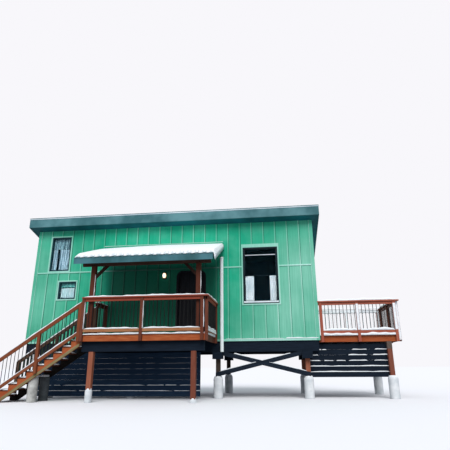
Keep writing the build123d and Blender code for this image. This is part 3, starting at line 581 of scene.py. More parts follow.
# The braces under the house: the same dark stain and painted shade.
BRACE_WOOD = timber("dark_stained_braces_painted_shade", "#0A1017", "#121D2A", "#1C2938", turn=0.2)
CONCRETE = cast_concrete("cast_concrete", "#D4DADD", "#F1F3F4")
GREY_CONCRETE = cast_concrete("grey_cast_concrete", "#9C9C98", "#CFCFCA")
# Painted shade: dark grey concrete for the pier behind the stair.
SHADED_CONCRETE = cast_concrete("cast_concrete_painted_shade", "#3C4346", "#5E6467")
# Settled snow: white with a faint blue in its hollows that is painted shade, lumps of 70 mm and grain of 5
# mm
SNOW = mottled(
    "settled_snow", "#EBF0F5", "#F7F9FA", (14.0, 4), (14.0, 4, 0.35, 0.02),
    Roughness=0.7, Specular_IOR_Level=0.25,
)
# Clear double glazing, with a trace of mist in slow patches, and a blue tint on its reflections that is a
# painted reflection of sky
GLASS = mottled(
    "clear_window_glass", "#E9F4F8", "#F6FBFD", (3.0,), rough=(0.01, 0.06),
    IOR=1.16, Transmission_Weight=1.0, Specular_Tint="#86BCD2",
)
LIT_GLASS = lamp_glass()
COTTON = curtain_cotton("white_curtain_cotton", "#F2F8FB", "#FFFFFF")
BLUE_COTTON = curtain_cotton("blue_grey_curtain_cotton", "#658EA0", "#CDE6F0")
GREY_COTTON = curtain_cotton("teal_grey_curtain_cotton", "#557E88", "#A6CAD0")
PALE_COTTON = curtain_cotton("pale_blue_curtain_cotton", "#CDF0F0", "#E8FCFC")
GREEN_COTTON = curtain_cotton("dark_green_curtain_cotton", "#62C6BC", "#94E4DA")
# Satin stainless steel with brush lines along the lever
STEEL = mottled(
    "brushed_stainless_steel", "#8C8F91", "#B5B8BA", (1.0, 3, (60, 1500, 1500)),
    rough=(0.25, 0.42), Metallic=1.0,
)
# White drain pipe, moulded smooth, with faint dirt in long streaks
PIPE = mottled("white_pvc_pipe", "#EEFFFD", "#FCFFFF", (1.0, 3, (20, 20, 1.5)), Roughness=0.32)
DOOR_PAINT = dark_door_paint()

# What the CAD nodes wear that no piece replaces
FINISHED_NODES = (
    (SIDING, "floor_platform front_wall_left front_wall_right front_wall_over_door rear_wall"),
    (SIDING, "left_end_wall right_end_wall"),
    (SOFFIT, "main_roof porch_roof"),
    (FASCIA, "eaves_fascias rake_boards"),
    (PORCH_FASCIA, "porch_fascia"),
    (BLACK_FRAME, "front_window_frames rear_window_frames curtain_rod"),
    (GLASS, "front_window_glass rear_window_glass"),
    (DOOR_PAINT, "door_frame door_leaf end_door"),
    (STEEL, "door_hinges door_hinge_leaves door_handle"),
    (STRINGER_WOOD, "stair_stringers"),
    (KNEE_WOOD, "knee_braces"),
    (BRACE_WOOD, "rising_brace falling_brace"),
)
NODE_FINISHES = {name: finish for finish, names in FINISHED_NODES for name in names.split()}
for node_name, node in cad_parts.items():
    node.data.materials.clear()
    node.data.materials.append(NODE_FINISHES.get(node_name, BEAM_WOOD))


# Siding


def island_boxes(name):
    """Boxes of the separate solids in a CAD node, found by joining boxes of its triangles that
    touch, from left to right."""
    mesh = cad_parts[name].data
    points = np.array([v.co for v in mesh.vertices], float)
    boxes = []
    for polygon in mesh.polygons:
        corners = points[list(polygon.vertices)]
        low, high = corners.min(axis=0), corners.max(axis=0)
        apart = []
        for other_low, other_high in boxes:
            if (low <= other_high + 1e-4).all() and (high >= other_low - 1e-4).all():
                low = np.minimum(low, other_low)
                high = np.maximum(high, other_high)
            else:
                apart.append((other_low, other_high))
        boxes = apart + [(low, high)]
    return sorted(boxes, key=lambda box: box[0][0])


FRONT_WINDOWS = island_boxes("front_window_frames")
REAR_WINDOWS = island_boxes("rear_window_frames")
LOFT_WINDOW, LOW_WINDOW, PICTURE_WINDOW = FRONT_WINDOWS


def uncovered(low, high, blocks):
    """The parts of a span that the blocks leave free."""
    free = []
    for start, end in sorted(blocks):
        if start > low:
            free.append((low, min(start, high)))
        low = max(low, end)
    if low < high:
        free.append((low, high))
    return [(a, b) for a, b in free if b - a > 0.05]


def battens():
    """Boards over the joints of the panels on all four walls, stopped at every opening, each
    with a shallow strip beside it that draws the joint's shade."""
    runs = []
    half = BATTEN_WIDTH / 2
    rear_y = (REAR, REAR + BATTEN_DEPTH)
    walls = (
        ((FRONT - BATTEN_DEPTH, FRONT), [*FRONT_WINDOWS, DOOR_FRAME], WALL_TOP),
        (rear_y, REAR_WINDOWS, roof_under(rear_y[1])),
    )
    for step in range(1, round((HOUSE_RIGHT - HOUSE_LEFT) / BATTEN_PITCH)):
        x = HOUSE_LEFT + FIRST_BATTEN + step * BATTEN_PITCH
        for y_range, openings, top in walls:
            blocks = [
                (low[2] - BELT_WIDTH, high[2] + BELT_WIDTH)
                for low, high in openings
                if low[0] - half < x < high[0] + half
            ]
            for z_range in uncovered(FOOT_TRIM_TOP, top, blocks):
                runs.append(beam((x - half, x + half), y_range, z_range))
    steps = round((REAR - FRONT) / BATTEN_PITCH)
    pitch = (REAR - FRONT) / steps
    for step in range(1, steps):
        y = FRONT + step * pitch
        y_range = (y - half, y + half)
        top = roof_under(y + half)
        runs.append(beam((HOUSE_LEFT - BATTEN_DEPTH, HOUSE_LEFT), y_range, (FOOT_TRIM_TOP, top)))
        covered = END_DOOR[0][1] - half < y < END_DOOR[1][1] + half
        start = END_DOOR[1][2] + BELT_WIDTH if covered else FOOT_TRIM_TOP
        runs.append(beam((HOUSE_RIGHT, HOUSE_RIGHT + BATTEN_DEPTH), y_range, (start, top)))
    boards("siding_battens", runs, BATTEN)
    joints = []
    for start, end, across, up in runs:
        wide = across if np.abs(across).max() > np.abs(up).max() else up
        deep = up if wide is across else across
        beside = wide / BATTEN_WIDTH * (BATTEN_WIDTH + JOINT_WIDTH) / 2
        outward = -1 if start[1] < FRONT or start[0] < HOUSE_LEFT else 1
        shift = beside + np.abs(deep) * outward * (JOINT_DEPTH / BATTEN_DEPTH - 1) / 2
        shallow = deep * (JOINT_DEPTH / BATTEN_DEPTH)
        joints.append([start + shift, end + shift, wide / BATTEN_WIDTH * JOINT_WIDTH, shallow])
    boards("siding_joint_shadows", joints, JOINT, chamfer=0.001)


def window_trim(low, high, y_range, head=BELT_WIDTH):
    """Four trim boards round a window, the head as wide as given."""
    foot, top = low[2], high[2]
    side_z = (foot - BELT_WIDTH, top + head)
    return [
        ((low[0] - BELT_WIDTH, low[0]), y_range, side_z),
        ((high[0], high[0] + BELT_WIDTH), y_range, side_z),
        ((low[0], high[0]), y_range, (top, top + head)),
        ((low[0], high[0]), y_range, (foot - BELT_WIDTH, foot)),
    ]


def trim_boards():
    """Corner boards in siding paint, and belt, foot boards and window trim in pale paint."""
    front_y = (FRONT - TRIM_DEPTH, FRONT)
    rear_y = (REAR, REAR + TRIM_DEPTH)
    left_x = (HOUSE_LEFT - TRIM_DEPTH, HOUSE_LEFT)
    right_x = (HOUSE_RIGHT, HOUSE_RIGHT + TRIM_DEPTH)
    rear_top = roof_under(rear_y[1])
    inside = (HOUSE_LEFT + CORNER_WIDTH, HOUSE_RIGHT - CORNER_WIDTH)
    sides = (FRONT + CORNER_WIDTH, REAR - CORNER_WIDTH)
    foot_z = (SIDING_FOOT, FOOT_TRIM_TOP)
    belt = SIDING_FOOT + BELT_HEIGHT
    belt_z = (belt - BELT_WIDTH / 2, belt + BELT_WIDTH / 2)
    corners = []
    runs = []
    for corner, outward, side_x in ((HOUSE_LEFT, -1, left_x), (HOUSE_RIGHT, 1, right_x)):
        x_range = sorted((corner + outward * TRIM_DEPTH, corner - outward * CORNER_WIDTH))
        edge_x = sorted(corner - outward * (CORNER_WIDTH + step) for step in (0, EDGE_STRIP))
        corners += [
            (x_range, front_y, (SIDING_FOOT, WALL_TOP)),
            (x_range, rear_y, (SIDING_FOOT, rear_top)),
            (side_x, (FRONT, sides[0]), (SIDING_FOOT, roof_under(sides[0]))),
            (side_x, (sides[1], REAR), (SIDING_FOOT, roof_under(REAR))),
        ]
        runs += [(edge_x, front_y, (FOOT_TRIM_TOP, WALL_TOP)), (edge_x, rear_y, (FOOT_TRIM_TOP, rear_top))]
    picture = (PICTURE_WINDOW[0][0] - BELT_WIDTH, PICTURE_WINDOW[1][0] + BELT_WIDTH)
    runs += [(x_range, front_y, belt_z) for x_range in uncovered(*inside, [picture])]
    runs += [
        (inside, front_y, foot_z),
        (inside, rear_y, foot_z),
        (inside, rear_y, belt_z),
        (left_x, sides, foot_z),
        (left_x, sides, belt_z),
        (right_x, sides, belt_z),
    ]
    (_, door_near, _), (_, door_far, door_top) = END_DOOR
    door_y = (door_near - BELT_WIDTH, door_far + BELT_WIDTH)
    runs += [(right_x, y_range, foot_z) for y_range in uncovered(*sides, [door_y])]
    head = door_top + BELT_WIDTH
    runs += [
        (right_x, (door_y[0], door_near), (SIDING_FOOT, head)),
        (right_x, (door_far, door_y[1]), (SIDING_FOOT, head)),
        (right_x, (door_near, door_far), (door_top, head)),
        *window_trim(*PICTURE_WINDOW, front_y, PICTURE_HEAD),
        *window_trim(*LOFT_WINDOW, front_y),
        *window_trim(*LOW_WINDOW, front_y),
    ]
    for window in REAR_WINDOWS:
        runs += window_trim(*window, rear_y)
    boards("pale_trim_boards", runs, TRIM)
    boards("corner_boards", corners, SIDING)


battens()
trim_boards()


# Roofs


def ribbed_sheet(name, node, falls):
    """Ribbed roofing that fills a CAD node's box: the height over the pan is a flat-topped rib
    every 229 mm along X, and the outline across the ribs is carried from the eave to the rear.
    falls says how far both lie under the top, for each metre of depth."""
    low, high = node_box(node)
    ribs = round((high[0] - low[0]) / ROOF_RIB_PITCH)
    pitch = (high[0] - low[0]) / ribs
    middles = low[0] + pitch * (np.arange(ribs) + 0.5)
    rib_heights = np.array([0, ROOF_RIB_HEIGHT, ROOF_RIB_HEIGHT, 0])
    rib_x = (middles[:, None] + np.array([-0.032, -0.018, 0.018, 0.032])).ravel()
    x_top = np.concatenate([[low[0]], rib_x, [high[0]]])
    z_top = np.concatenate([[0], np.tile(rib_heights, ribs), [0]]) - ROOF_RIB_HEIGHT
    outline_x = np.concatenate([x_top, x_top[::-1]])
    outline_z = np.concatenate([z_top, z_top[::-1] - ROOF_SHEET])
    rings = []
    for y, fall in zip((low[1], high[1]), falls):
        top = high[2] - fall * (high[1] - low[1])
        rings.append(np.stack([outline_x, np.full_like(outline_x, y), top + outline_z], axis=-1))
    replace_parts(lofted(name, [rings], ROOFING), node)


def drip_edges():
    """The folded edge of the roofing along the high eave with a pale drip edge under it, and the
    flashing where the porch roof meets the wall, with its pale upper edge. The drip edge's pale
    colour is partly real and partly a painted highlight along the eave."""
    fascia = node_box("eaves_fascias")
    top = MAIN_METAL[1][2] - 0.001
    x_range = (fascia[0][0], fascia[1][0])
    y_range = (MAIN_METAL[0][1], fascia[0][1] + 0.004)
    low, high = PORCH_METAL
    porch_x = (low[0], high[0])
    fold = high[2] + 0.038
    lap_y = (FRONT - 0.022, FRONT)
    edge_y = (FRONT - 0.024, FRONT)
    for name, run, finish, slot in (
        ("roof_folded_edge", (x_range, y_range, (top - 0.024, top)), ROOFING, "roof_metal"),
        ("roof_drip_edge", (x_range, y_range, (top - 0.058, top - 0.025)), EDGE_METAL, "roof_metal"),
        ("porch_roof_flashing", (porch_x, lap_y, (high[2] - 0.01, fold)), SIDING, "painted_siding"),
        ("porch_flashing_edge", (porch_x, edge_y, (fold, fold + 0.018)), FLASHING, "siding_trim"),
    ):
        boards(name, [run], finish, chamfer=0.002)


def part_way(distance, span):
    """How far a distance has come over a span, kept from 0 to 1."""
    return np.clip(distance / span, 0, 1)


def roof_snow(name, x, y, z_top, z_low):
    """A closed cover of snow: the loop goes over the top and back under it, and is carried
    along X."""
    pairs = ((x, x), (y, y), (z_top, z_low))
    loops = [np.concatenate([over, under[:, ::-1]], axis=1) for over, under in pairs]
    lofted(name, np.stack(loops, axis=-1)[None], SNOW, smooth=True)


def porch_snow():
    """The deep snow on the porch roof.

    Over the top the depth rises from the eave as a quarter round and thins to a film a hand's
    breadth off the wall, least by the lamp, and back along the metal it is flat. The eave line
    draws back at each rib as the fourth power of a sine in X. At the left it starts as a steep
    rounded edge, and at the right it bulges over the rake and hangs down, most near the eave.
    """
    low, high = PORCH_METAL
    x = np.concatenate(
        [
            low[0] + 0.03 + 0.10 * np.linspace(0, 1, 14) ** 2,
            np.linspace(low[0] + 0.14, high[0] - 0.02, 190),
            high[0] + 0.06 * np.linspace(0, 1, 16),
        ]
    )
    share = np.linspace(0, 1, 26)[None, :]
    eave = low[1] + 0.012 + 0.13 * np.abs(np.sin(np.pi * (x - low[0]) / ROOF_RIB_PITCH)) ** 4
    bare = 0.05 + 0.25 * np.exp((low[0] - x) / 0.6)
    y = eave[:, None] + share**1.6 * (high[1] - bare - eave)[:, None]
    metal = high[2] - PORCH_SLOPE * (high[1] - y)
    rounding = part_way(y - eave[:, None], 0.13)
    left = part_way(x - x[0], 0.05) ** 0.5 * (0.85 + 0.15 * part_way(x - x[0], 0.9))
    right = part_way(x[-1] - x, 0.09) ** 0.5 * (0.6 + 0.4 * part_way(x[-1] - x, 0.6))
    swell = 1 + 0.10 * np.sin(2.1 * x + 1) + 0.05 * np.sin(5.3 * x)
    drift = 0.04 + 0.22 * np.exp(-(((x[:, None] + 1.3) / 0.9) ** 2))
    thin = drift + (1 - drift) * (1 - share**1.6) ** 0.8
    lift = 0.115 * (left * right * swell)[:, None] * np.sqrt(1 - (1 - rounding) ** 2) * thin
    hang = 0.22 * part_way(x - high[0] + 0.02, 0.08)[:, None] ** 1.2 * (1 - 0.15 * share)
    over = np.clip(x - high[0], 0, None)[:, None]
    roof_snow(
        "porch_roof_snow",
        x[:, None] - over * 0.35 * share**2,
        y,
        metal + lift - 0.4 * hang + 0.004,
        metal - hang - ROOF_RIB_HEIGHT * 0.5,
    )


def main_roof_snow():
    """Snow on the main roof, thin at the high eave where the wind clears it.

    The depth at a place is the least of 75 mm and a room that grows from the high eave, with a
    rounded fall at the rakes and the low eave.
    """
    low, high = MAIN_METAL
    x = np.linspace(low[0] + 0.05, high[0] - 0.05, 160)
    wave = 0.05 * np.sin(3.0 * x) + 0.03 * np.sin(7.1 * x)
    near = low[1] + 0.06 + 0.5 * np.abs(wave)
    far = high[1] - 0.08 + wave
    y = near[:, None] + np.linspace(0, 1, 40) * (far - near)[:, None]
    metal = high[2] - ROOF_SLOPE * (y - low[1])
    eave_room = 0.8 * ROOF_SLOPE * (y - low[1])
    fall = part_way(far[:, None] - y, 0.12) ** 0.5
    ends = part_way(x - x[0], 0.12) ** 0.5 * part_way(x[-1] - x, 0.12) ** 0.5
    swell = 1 + 0.12 * np.sin(1.7 * x[:, None] + 2.2 * y)
    lift = np.minimum(0.075 * swell, eave_room) * fall * ends[:, None]
    wide_x = np.broadcast_to(x[:, None], y.shape)
    roof_snow("main_roof_snow", wide_x, y, metal + lift - SINK, metal - ROOF_RIB_HEIGHT * 0.8)


ribbed_sheet("main_roof_ribbed_metal", "main_roof_metal", (0, ROOF_SLOPE))
ribbed_sheet("porch_roof_ribbed_metal", "porch_roof_metal", (PORCH_SLOPE, 0))
drip_edges()
porch_snow()
main_roof_snow()


# Windows


def window_bars():
    """Sashes inside the window frames, and the pale rail and sill of the picture window."""
    sashes = []
    for low, high in FRONT_WINDOWS:
        face = 0.030 if high[0] > 0 else 0.010
        y_range = (low[1] + 0.030, low[1] + 0.052)
        left, right = low[0] + FRAME_FACE, high[0] - FRAME_FACE
        foot, top = low[2] + FRAME_FACE, high[2] - FRAME_FACE
        sashes += [
            ((left, left + face), y_range, (foot, top)),
            ((right - face, right), y_range, (foot, top)),
            ((left + face, right - face), y_range, (foot, foot + face)),
            ((left + face, right - face), y_range, (top - face, top)),
        ]
    for low, high in REAR_WINDOWS:
        middle = (low[2] + high[2]) / 2
        x_range = (low[0] + FRAME_FACE, high[0] - FRAME_FACE)
        sashes.append((x_range, (high[1] - 0.052, high[1] - 0.030), (middle - 0.02, middle + 0.02)))
    boards("window_sashes", sashes, BLACK_FRAME)
    (left, near, foot), (right, _, _) = PICTURE_WINDOW
    rail = SIDING_FOOT + 2.840
    sill = foot + 0.030
    pale = [
        ((left + 0.075, right - 0.075), (near + 0.034, near + 0.050), (rail - 0.011, rail + 0.011)),
        ((left + 0.02, right - 0.02), (near - 0.026, near + 0.01), (sill, sill + 0.052)),
    ]
    boards("picture_window_rail_and_sill", pale, PALE_METAL)


def curtain(name, x_range, y, z_range, folds, depth, start, finish, rod, held):
    """A curtain as a sheet over width and height.

    Along the width the cloth swings by a sine with the given number of folds, deeper towards the
    foot, and its hem dips between them. Its flat width is the length of that wave.
    """
    u = np.linspace(0, 1, 12 * folds + 1)[None, :]
    v = np.linspace(0, 1, 31)[:, None]
    wave = 2 * np.pi * folds * u + start
    swing = depth * (0.45 + 0.55 * v) * (np.sin(wave) + 0.25 * np.sin(2.3 * wave + 1.0))
    flat_length = float(z_range[1] - z_range[0])
    x = x_range[0] + (x_range[1] - x_range[0]) * u + 0 * v
    z = z_range[1] - flat_length * v + 0.004 * v * np.cos(wave)
    points = np.stack([x, y + swing, z], axis=-1)
    flat_width = float(np.linalg.norm(np.diff(points, axis=1), axis=2).sum(axis=1).mean())
    index = np.arange(x.size).reshape(x.shape)
    faces = np.stack([index[:-1, :-1], index[1:, :-1], index[1:, 1:], index[:-1, 1:]], axis=-1)
    weave = np.stack(np.broadcast_arrays(u * flat_width, v * flat_length), axis=-1)
    faces = faces.reshape(-1, 4).tolist()
    cloth = new_piece(name, points, faces, finish, True, ("weave", weave))
    thick = cloth.modifiers.new("cloth_thickness", "SOLIDIFY")
    thick.thickness = 0.0015
    thick.offset = 0
    return cloth


def curtains():
    """The pair of cafe curtains, and the shades behind the two smaller windows."""
    left, right = island_boxes("cafe_curtains")
    for side, (low, high), folds, start in (("left", left, 6, 0.7), ("right", right, 4, 2.1)):
        middle = (low[1] + high[1]) / 2
        place = ((low[0], high[0]), middle, (low[2], high[2]))
        rod = "curtain_rod"
        cloth = curtain(f"cafe_curtain_{side}", *place, folds, 0.0085, start, COTTON, rod, "gathered")
        if side == "left":
            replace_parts(cloth, "cafe_curtains")
    edge = 0.005
    for name, (low, high), across, tall, folds, finish in (
        ("loft_window_valance", LOFT_WINDOW, (0.0, 1.0), (0.66, 1.0), 9, GREY_COTTON),
        ("loft_curtain_left", LOFT_WINDOW, (0.0, 0.27), (0.0, 0.655), 3, BLUE_COTTON),
        ("loft_curtain_right", LOFT_WINDOW, (0.39, 0.90), (0.0, 0.655), 5, BLUE_COTTON),
        ("low_window_curtain", LOW_WINDOW, (0.0, 1.0), (0.0, 0.66), 5, PALE_COTTON),
        ("low_window_valance", LOW_WINDOW, (0.0, 1.0), (0.70, 1.0), 5, GREEN_COTTON),
    ):
        left, right = low[0] + edge, high[0] - edge
        foot, top = low[2] + edge, high[2] - edge
        x_range = [left + share * (right - left) for share in across]
        z_range = [foot + share * (top - foot) for share in tall]
        rod = "front_window_frames"
        curtain(name, x_range, high[1] + 0.022, z_range, folds, 0.009, 1.3, finish, rod, "hung")


window_bars()
curtains()


# Lantern, pipe and piers


def lantern():
    """The lantern's egg-shaped glass, and its cap, ring and back plate in black metal."""
    low, high = LAMP_GLASS
    centre = (low + high) / 2
    half = (high - low) / 2
    turn = np.linspace(0.06, np.pi - 0.06, 24)
    egg = np.stack([half[0] * np.sin(turn) * (1 - 0.10 * np.cos(turn)), -half[2] * np.cos(turn)], axis=1)
    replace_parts(turned("lantern_glass", [centre], egg, LIT_GLASS), "porch_lamp_glass")
    top = half[2]
    cap = [
        (0.062, top - 0.010),
        (0.070, top - 0.004),
        (0.070, top + 0.002),
        (0.046, top + 0.012),
        (0.016, top + 0.018),
        (0.008, top + 0.022),
    ]
    ring = [
        (0.020, -top - 0.022),
        (0.044, -top - 0.018),
        (0.052, -top - 0.004),
        (0.050, -top + 0.008),
        (0.040, -top + 0.010),
    ]
    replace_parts(turned("lantern_cap", [centre], cap, BLACK_METAL), "porch_lamp")
    turned("lantern_foot_ring", [centre], ring, BLACK_METAL)
    x, _, z = centre
    plate_y = FRONT - 0.018
    arm_x = (x - 0.012, x + 0.012)
    arm_y = (high[1] - 0.03, plate_y)
    plate = [
        ((x - 0.055, x + 0.055), (plate_y, FRONT), (z - 0.10, z + 0.10)),
        (arm_x, arm_y, (z + top - 0.012, z + top + 0.004)),
        (arm_x, arm_y, (z - top - 0.016, z - top)),
    ]
    boards("lantern_plate_and_arms", plate, BLACK_METAL)


def vent():
    """The white pipe: a plain tube with a collar whose top edge is rounded, and two straps."""
    low, high = node_box("vent_pipe")
    x = (low[0] + high[0]) / 2 - 0.005
    y = FRONT - 0.018 - PIPE_RADIUS
    tall = high[2] - low[2]
    outline = [(PIPE_RADIUS * 0.86, 0.0), (PIPE_RADIUS, 0.002), (PIPE_RADIUS, 0.006)]
    outline += [
        (radius, tall - under)
        for radius, under in (
            (PIPE_RADIUS, 0.076),
            (PIPE_RADIUS, 0.072),
            (0.0605, 0.066),
            (0.062, 0.058),
            (0.062, 0.054),
            (0.062, 0.024),
            (0.062, 0.020),
            (0.058, 0.008),
            (0.048, 0.002),
            (0.034, 0),
        )
    ]
    pipe = turned("vent_pipe_tube", [(x, y, low[2])], outline, PIPE)
    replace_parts(pipe, "vent_pipe")
    inner, outer = PIPE_RADIUS + 0.001, PIPE_RADIUS + 0.004
    band = [(inner, 0.0), (outer, 0.001), (outer, 0.039), (inner, 0.040)]
    straps = []
    for height in (0.600, 2.200):
        z = SIDING_FOOT + height
        turned(f"vent_pipe_band_{int(height * 10)}", [(x, y, z)], band, PIPE)
        straps.append(((x - 0.018, x + 0.018), (y + PIPE_RADIUS * 0.9, FRONT), (z + 0.008, z + 0.032)))
    boards("vent_pipe_straps", straps, PIPE)


def piers():
    """Cast concrete columns with softly rounded tops, and a cap of snow on each. The pier behind the stair
    is dark grey, painted shade.
    """
    groups = {}
    for low, high in island_boxes("concrete_piers"):
        centre = ((low[0] + high[0]) / 2, (low[1] + high[1]) / 2, 0.0)
        # Painted shade: the tall pier behind the stair's middle gets the dark concrete.
        pier_in_stair_shade = high[2] > STAIR_PIER_OVER and centre[1] > STAIR_MIDDLE
        size = (round((high[0] - low[0]) / 2, 3), round(high[2], 3), pier_in_stair_shade)
        groups.setdefault(size, []).append(centre)
    turn = [(math.cos(t), math.sin(t)) for t in np.linspace(0, np.pi / 2, 6)]
    for number, ((radius, height, pier_in_stair_shade), centres) in enumerate(sorted(groups.items())):
        outline = [(radius * 0.98, 0.0), (radius, 0.01), (radius, 0.03), (radius, height - 0.07)]
        outline += [(radius - 0.05 * (1 - c), height - 0.05 * (1 - s)) for c, s in turn]
        outline.append((radius * 0.35, height))
        finish = SHADED_CONCRETE if pier_in_stair_shade else GREY_CONCRETE if height > STAIR_PIER_OVER else CONCRETE
        cast = turned(f"round_pier_{number}", centres, outline, finish, lump=0.012)
        if number == 0:
            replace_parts(cast, "concrete_piers")
        brim = radius - 0.02
        cap = [(brim, height - 0.012)]
        cap += [(brim - 0.05 * (1 - c), height + 0.045 * s) for c, s in turn]
        cap.append((radius * 0.3, height + 0.048))
        turned(f"pier_snow_{number}", centres, cap, SNOW, lump=0.03)


lantern()
vent()
piers()


# Guard rails

DECK_BOARDS = island_boxes("deck_boards")
(PORCH_LEFT, PORCH_NEAR, _), (PORCH_RIGHT, _, DECK_TOP) = DECK_BOARDS[0]
(SIDE_LEFT, SIDE_NEAR, _), (SIDE_RIGHT, SIDE_FAR, _) = DECK_BOARDS[1]
RIM_FOOT, RAIL_TOP = (corner[2] for corner in node_box("porch_railing_front"))
SUB_TOP = RAIL_TOP - CAP_THICKNESS
LOW_RAIL_FOOT = DECK_TOP + LOW_RAIL_GAP
LOW_RAIL_TOP = DECK_TOP + LOW_RAIL_GAP + RAIL_HEIGHT
OVER = (CAP_WIDTH - RAIL_POST) / 2
PORCH_RAIL = PORCH_RIGHT - PORCH_LEFT - 0.030
SIDE_RAIL = SIDE_RIGHT - SIDE_LEFT
PORCH_POSTS = (0, (PORCH_RAIL - RAIL_POST) / 2, PORCH_RAIL - RAIL_POST)
SIDE_POSTS = (SIDE_POST_INSET, SIDE_RAIL - SIDE_POST_PLACE, SIDE_RAIL - RAIL_POST)
REAR_POSTS = (0, SIDE_POST_PLACE - RAIL_POST, SIDE_RAIL - SIDE_POST_INSET - RAIL_POST)


def level_rail(origin, along, length, posts, cap, snow_heights):
    """The cap and upper rail, posts, low rails, bars and snow of a level guard rail. origin is on
    its outer face at the rim's foot, and it runs along a direction with its inner side on the
    left."""
    origin = np.array([*origin, RIM_FOOT])
    inward = np.array([-along[1], along[0], 0.0])
    top = RAIL_TOP - RIM_FOOT
    deck = DECK_TOP - RIM_FOOT
    middle = RAIL_POST / 2
    sub = (top - CAP_THICKNESS - RAIL_HEIGHT, top - CAP_THICKNESS)
    low = (deck + LOW_RAIL_GAP, deck + LOW_RAIL_GAP + RAIL_HEIGHT)

    def place(distance, height):
        return origin + along * distance + inward * middle + Z * height

    def member(start, end, wide, z_range):
        near = place(start, (z_range[0] + z_range[1]) / 2)
        return [near, near + along * (end - start), inward * wide, Z * (z_range[1] - z_range[0])]

    timbers = [
        member(*cap, CAP_WIDTH, (top - CAP_THICKNESS, top)),
        member(0, length, RAIL_THICKNESS, sub),
    ]
    post_runs = []
    for start in posts:
        foot = place(start + middle, 0)
        post_runs.append([foot, foot + Z * sub[1], along * RAIL_POST, inward * RAIL_POST])
    count = round(length / BALUSTER_PITCH)
    bars = []
    for bar in range(1, count):
        spot = bar * length / count
        if not any(start - 0.02 < spot < start + RAIL_POST + 0.02 for start in posts):
            bars.append((place(spot, low[1] - 0.01), place(spot, sub[0] + 0.01)))
    cap_snow, rail_snow = snow_heights
    start = place(cap[0] + 0.01, top - SINK)
    end = start + along * (cap[1] - cap[0] - 0.02)
    snow = [[start, end, inward * (CAP_WIDTH - 0.008), Z * cap_snow]]
    low_rails = []
    for near, far in zip(posts[:-1], posts[1:]):
        low_rails.append(member(near + RAIL_POST, far, RAIL_THICKNESS, low))
        start = place(near + RAIL_POST, low[1] - SINK)
        end = start + along * (far - near - RAIL_POST)
        snow.append([start, end, inward * (RAIL_THICKNESS + 0.010), Z * rail_snow])
    return timbers, post_runs, low_rails, bars, snow


def railings():
    """Guard rails of the porch and the side deck, each standing for its CAD node."""
    deep = FRONT - PORCH_NEAR
    left = FRONT - node_box("porch_railing_left")[0][1]
    side = SIDE_FAR - SIDE_NEAR
    for node, origin, along, length, posts, cap in (
        (
            "porch_railing_front", (PORCH_LEFT, PORCH_NEAR - RAIL_POST), X, PORCH_RAIL,
            PORCH_POSTS, (0, PORCH_RIGHT - PORCH_LEFT + RAIL_POST + OVER),
        ),
        (
            "porch_railing_right", (PORCH_RIGHT + RAIL_POST, PORCH_NEAR), Y, deep,
            (0, deep - RAIL_POST), (OVER, deep),
        ),
        (
            "porch_railing_left", (PORCH_LEFT - RAIL_POST, FRONT), -Y, left,
            (0, left - RAIL_POST), (0, left),
        ),
        (
            "side_railing_front", (SIDE_LEFT, SIDE_NEAR - RAIL_POST), X, SIDE_RAIL,
            SIDE_POSTS, (0, SIDE_RAIL + RAIL_POST + OVER),
        ),
        (
            "side_railing_end", (SIDE_RIGHT + RAIL_POST, SIDE_NEAR), Y, side,
            (0, (side - RAIL_POST) / 2, side - RAIL_POST), (OVER, side - OVER),
        ),
        (
            "side_railing_rear", (SIDE_RIGHT, SIDE_FAR + RAIL_POST), -X, SIDE_RAIL,
            REAR_POSTS, (-RAIL_POST - OVER, SIDE_RAIL),
        ),
    ):
        on_side = node.startswith("side")
        open_porch = node in ("porch_railing_front", "porch_railing_right")
        heights = (0.085, 0.085) if on_side else (0.055, 0.048)
        snow = []
        if node == "porch_railing_right":
            heights = (0.090, 0.085)
            face = PORCH_RIGHT + RAIL_POST / 2 + RAIL_THICKNESS / 2 - SINK
            z = LOW_RAIL_FOOT + RAIL_HEIGHT * 0.55
            ends = [[face, PORCH_NEAR, z], [face, FRONT - 0.03, z]]
            snow.append([*ends, Z * RAIL_HEIGHT * 0.85, X * 0.016])
        parts = level_rail(origin, along, length, posts, cap, heights)
        # Painted shade: the left porch rail and the side deck's end rail wear the darker stain.
        shaded = node in ("porch_railing_left", "side_railing_end")
        finish = STAINED_SHADE if shaded else STAINED_SIDE if on_side else STAINED_CAP
        post_finish = PORCH_CORNER if open_porch else finish
        low_finish = STAINED_WORN if open_porch else finish
        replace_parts(boards(f"{node}_timbers", parts[0], finish), node)
        boards(f"{node}_posts", parts[1], post_finish)
        boards(f"{node}_low_rails", parts[2], low_finish)
        balusters(f"{node}_balusters", parts[3])
        snow_ridges(f"{node}_snow", snow + parts[4])


railings()


# Stairs

TREADS = sorted(island_boxes("stair_treads"), key=lambda box: -box[1][2])
STAIR_SLOPE = (TREADS[0][1][2] - TREADS[1][1][2]) / (TREADS[0][0][0] - TREADS[1][0][0])


def nosing_line(x):
    """Height of the line through the treads' front edges at x."""
    return DECK_TOP - (PORCH_LEFT - x) * STAIR_SLOPE


def treads():
    """Two boards to a tread, with snow on them."""
    runs = []
    snow = []
    for low, high in TREADS:
        middle = (low[0] + high[0]) / 2
        for x_range in ((low[0], middle - 0.003), (middle + 0.003, high[0])):
            runs.append((x_range, (low[1], high[1]), (low[2], high[2])))
        span = (low[1] + 0.02, high[1] - 0.02)
        snow.append(lying(span, middle, high[2] - SINK, high[0] - low[0] - 0.02, 0.050, Y))
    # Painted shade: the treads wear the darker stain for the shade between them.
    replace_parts(boards("stair_tread_boards", runs, STAINED_SHADE), "stair_treads")
    snow_ridges("stair_tread_snow", snow)


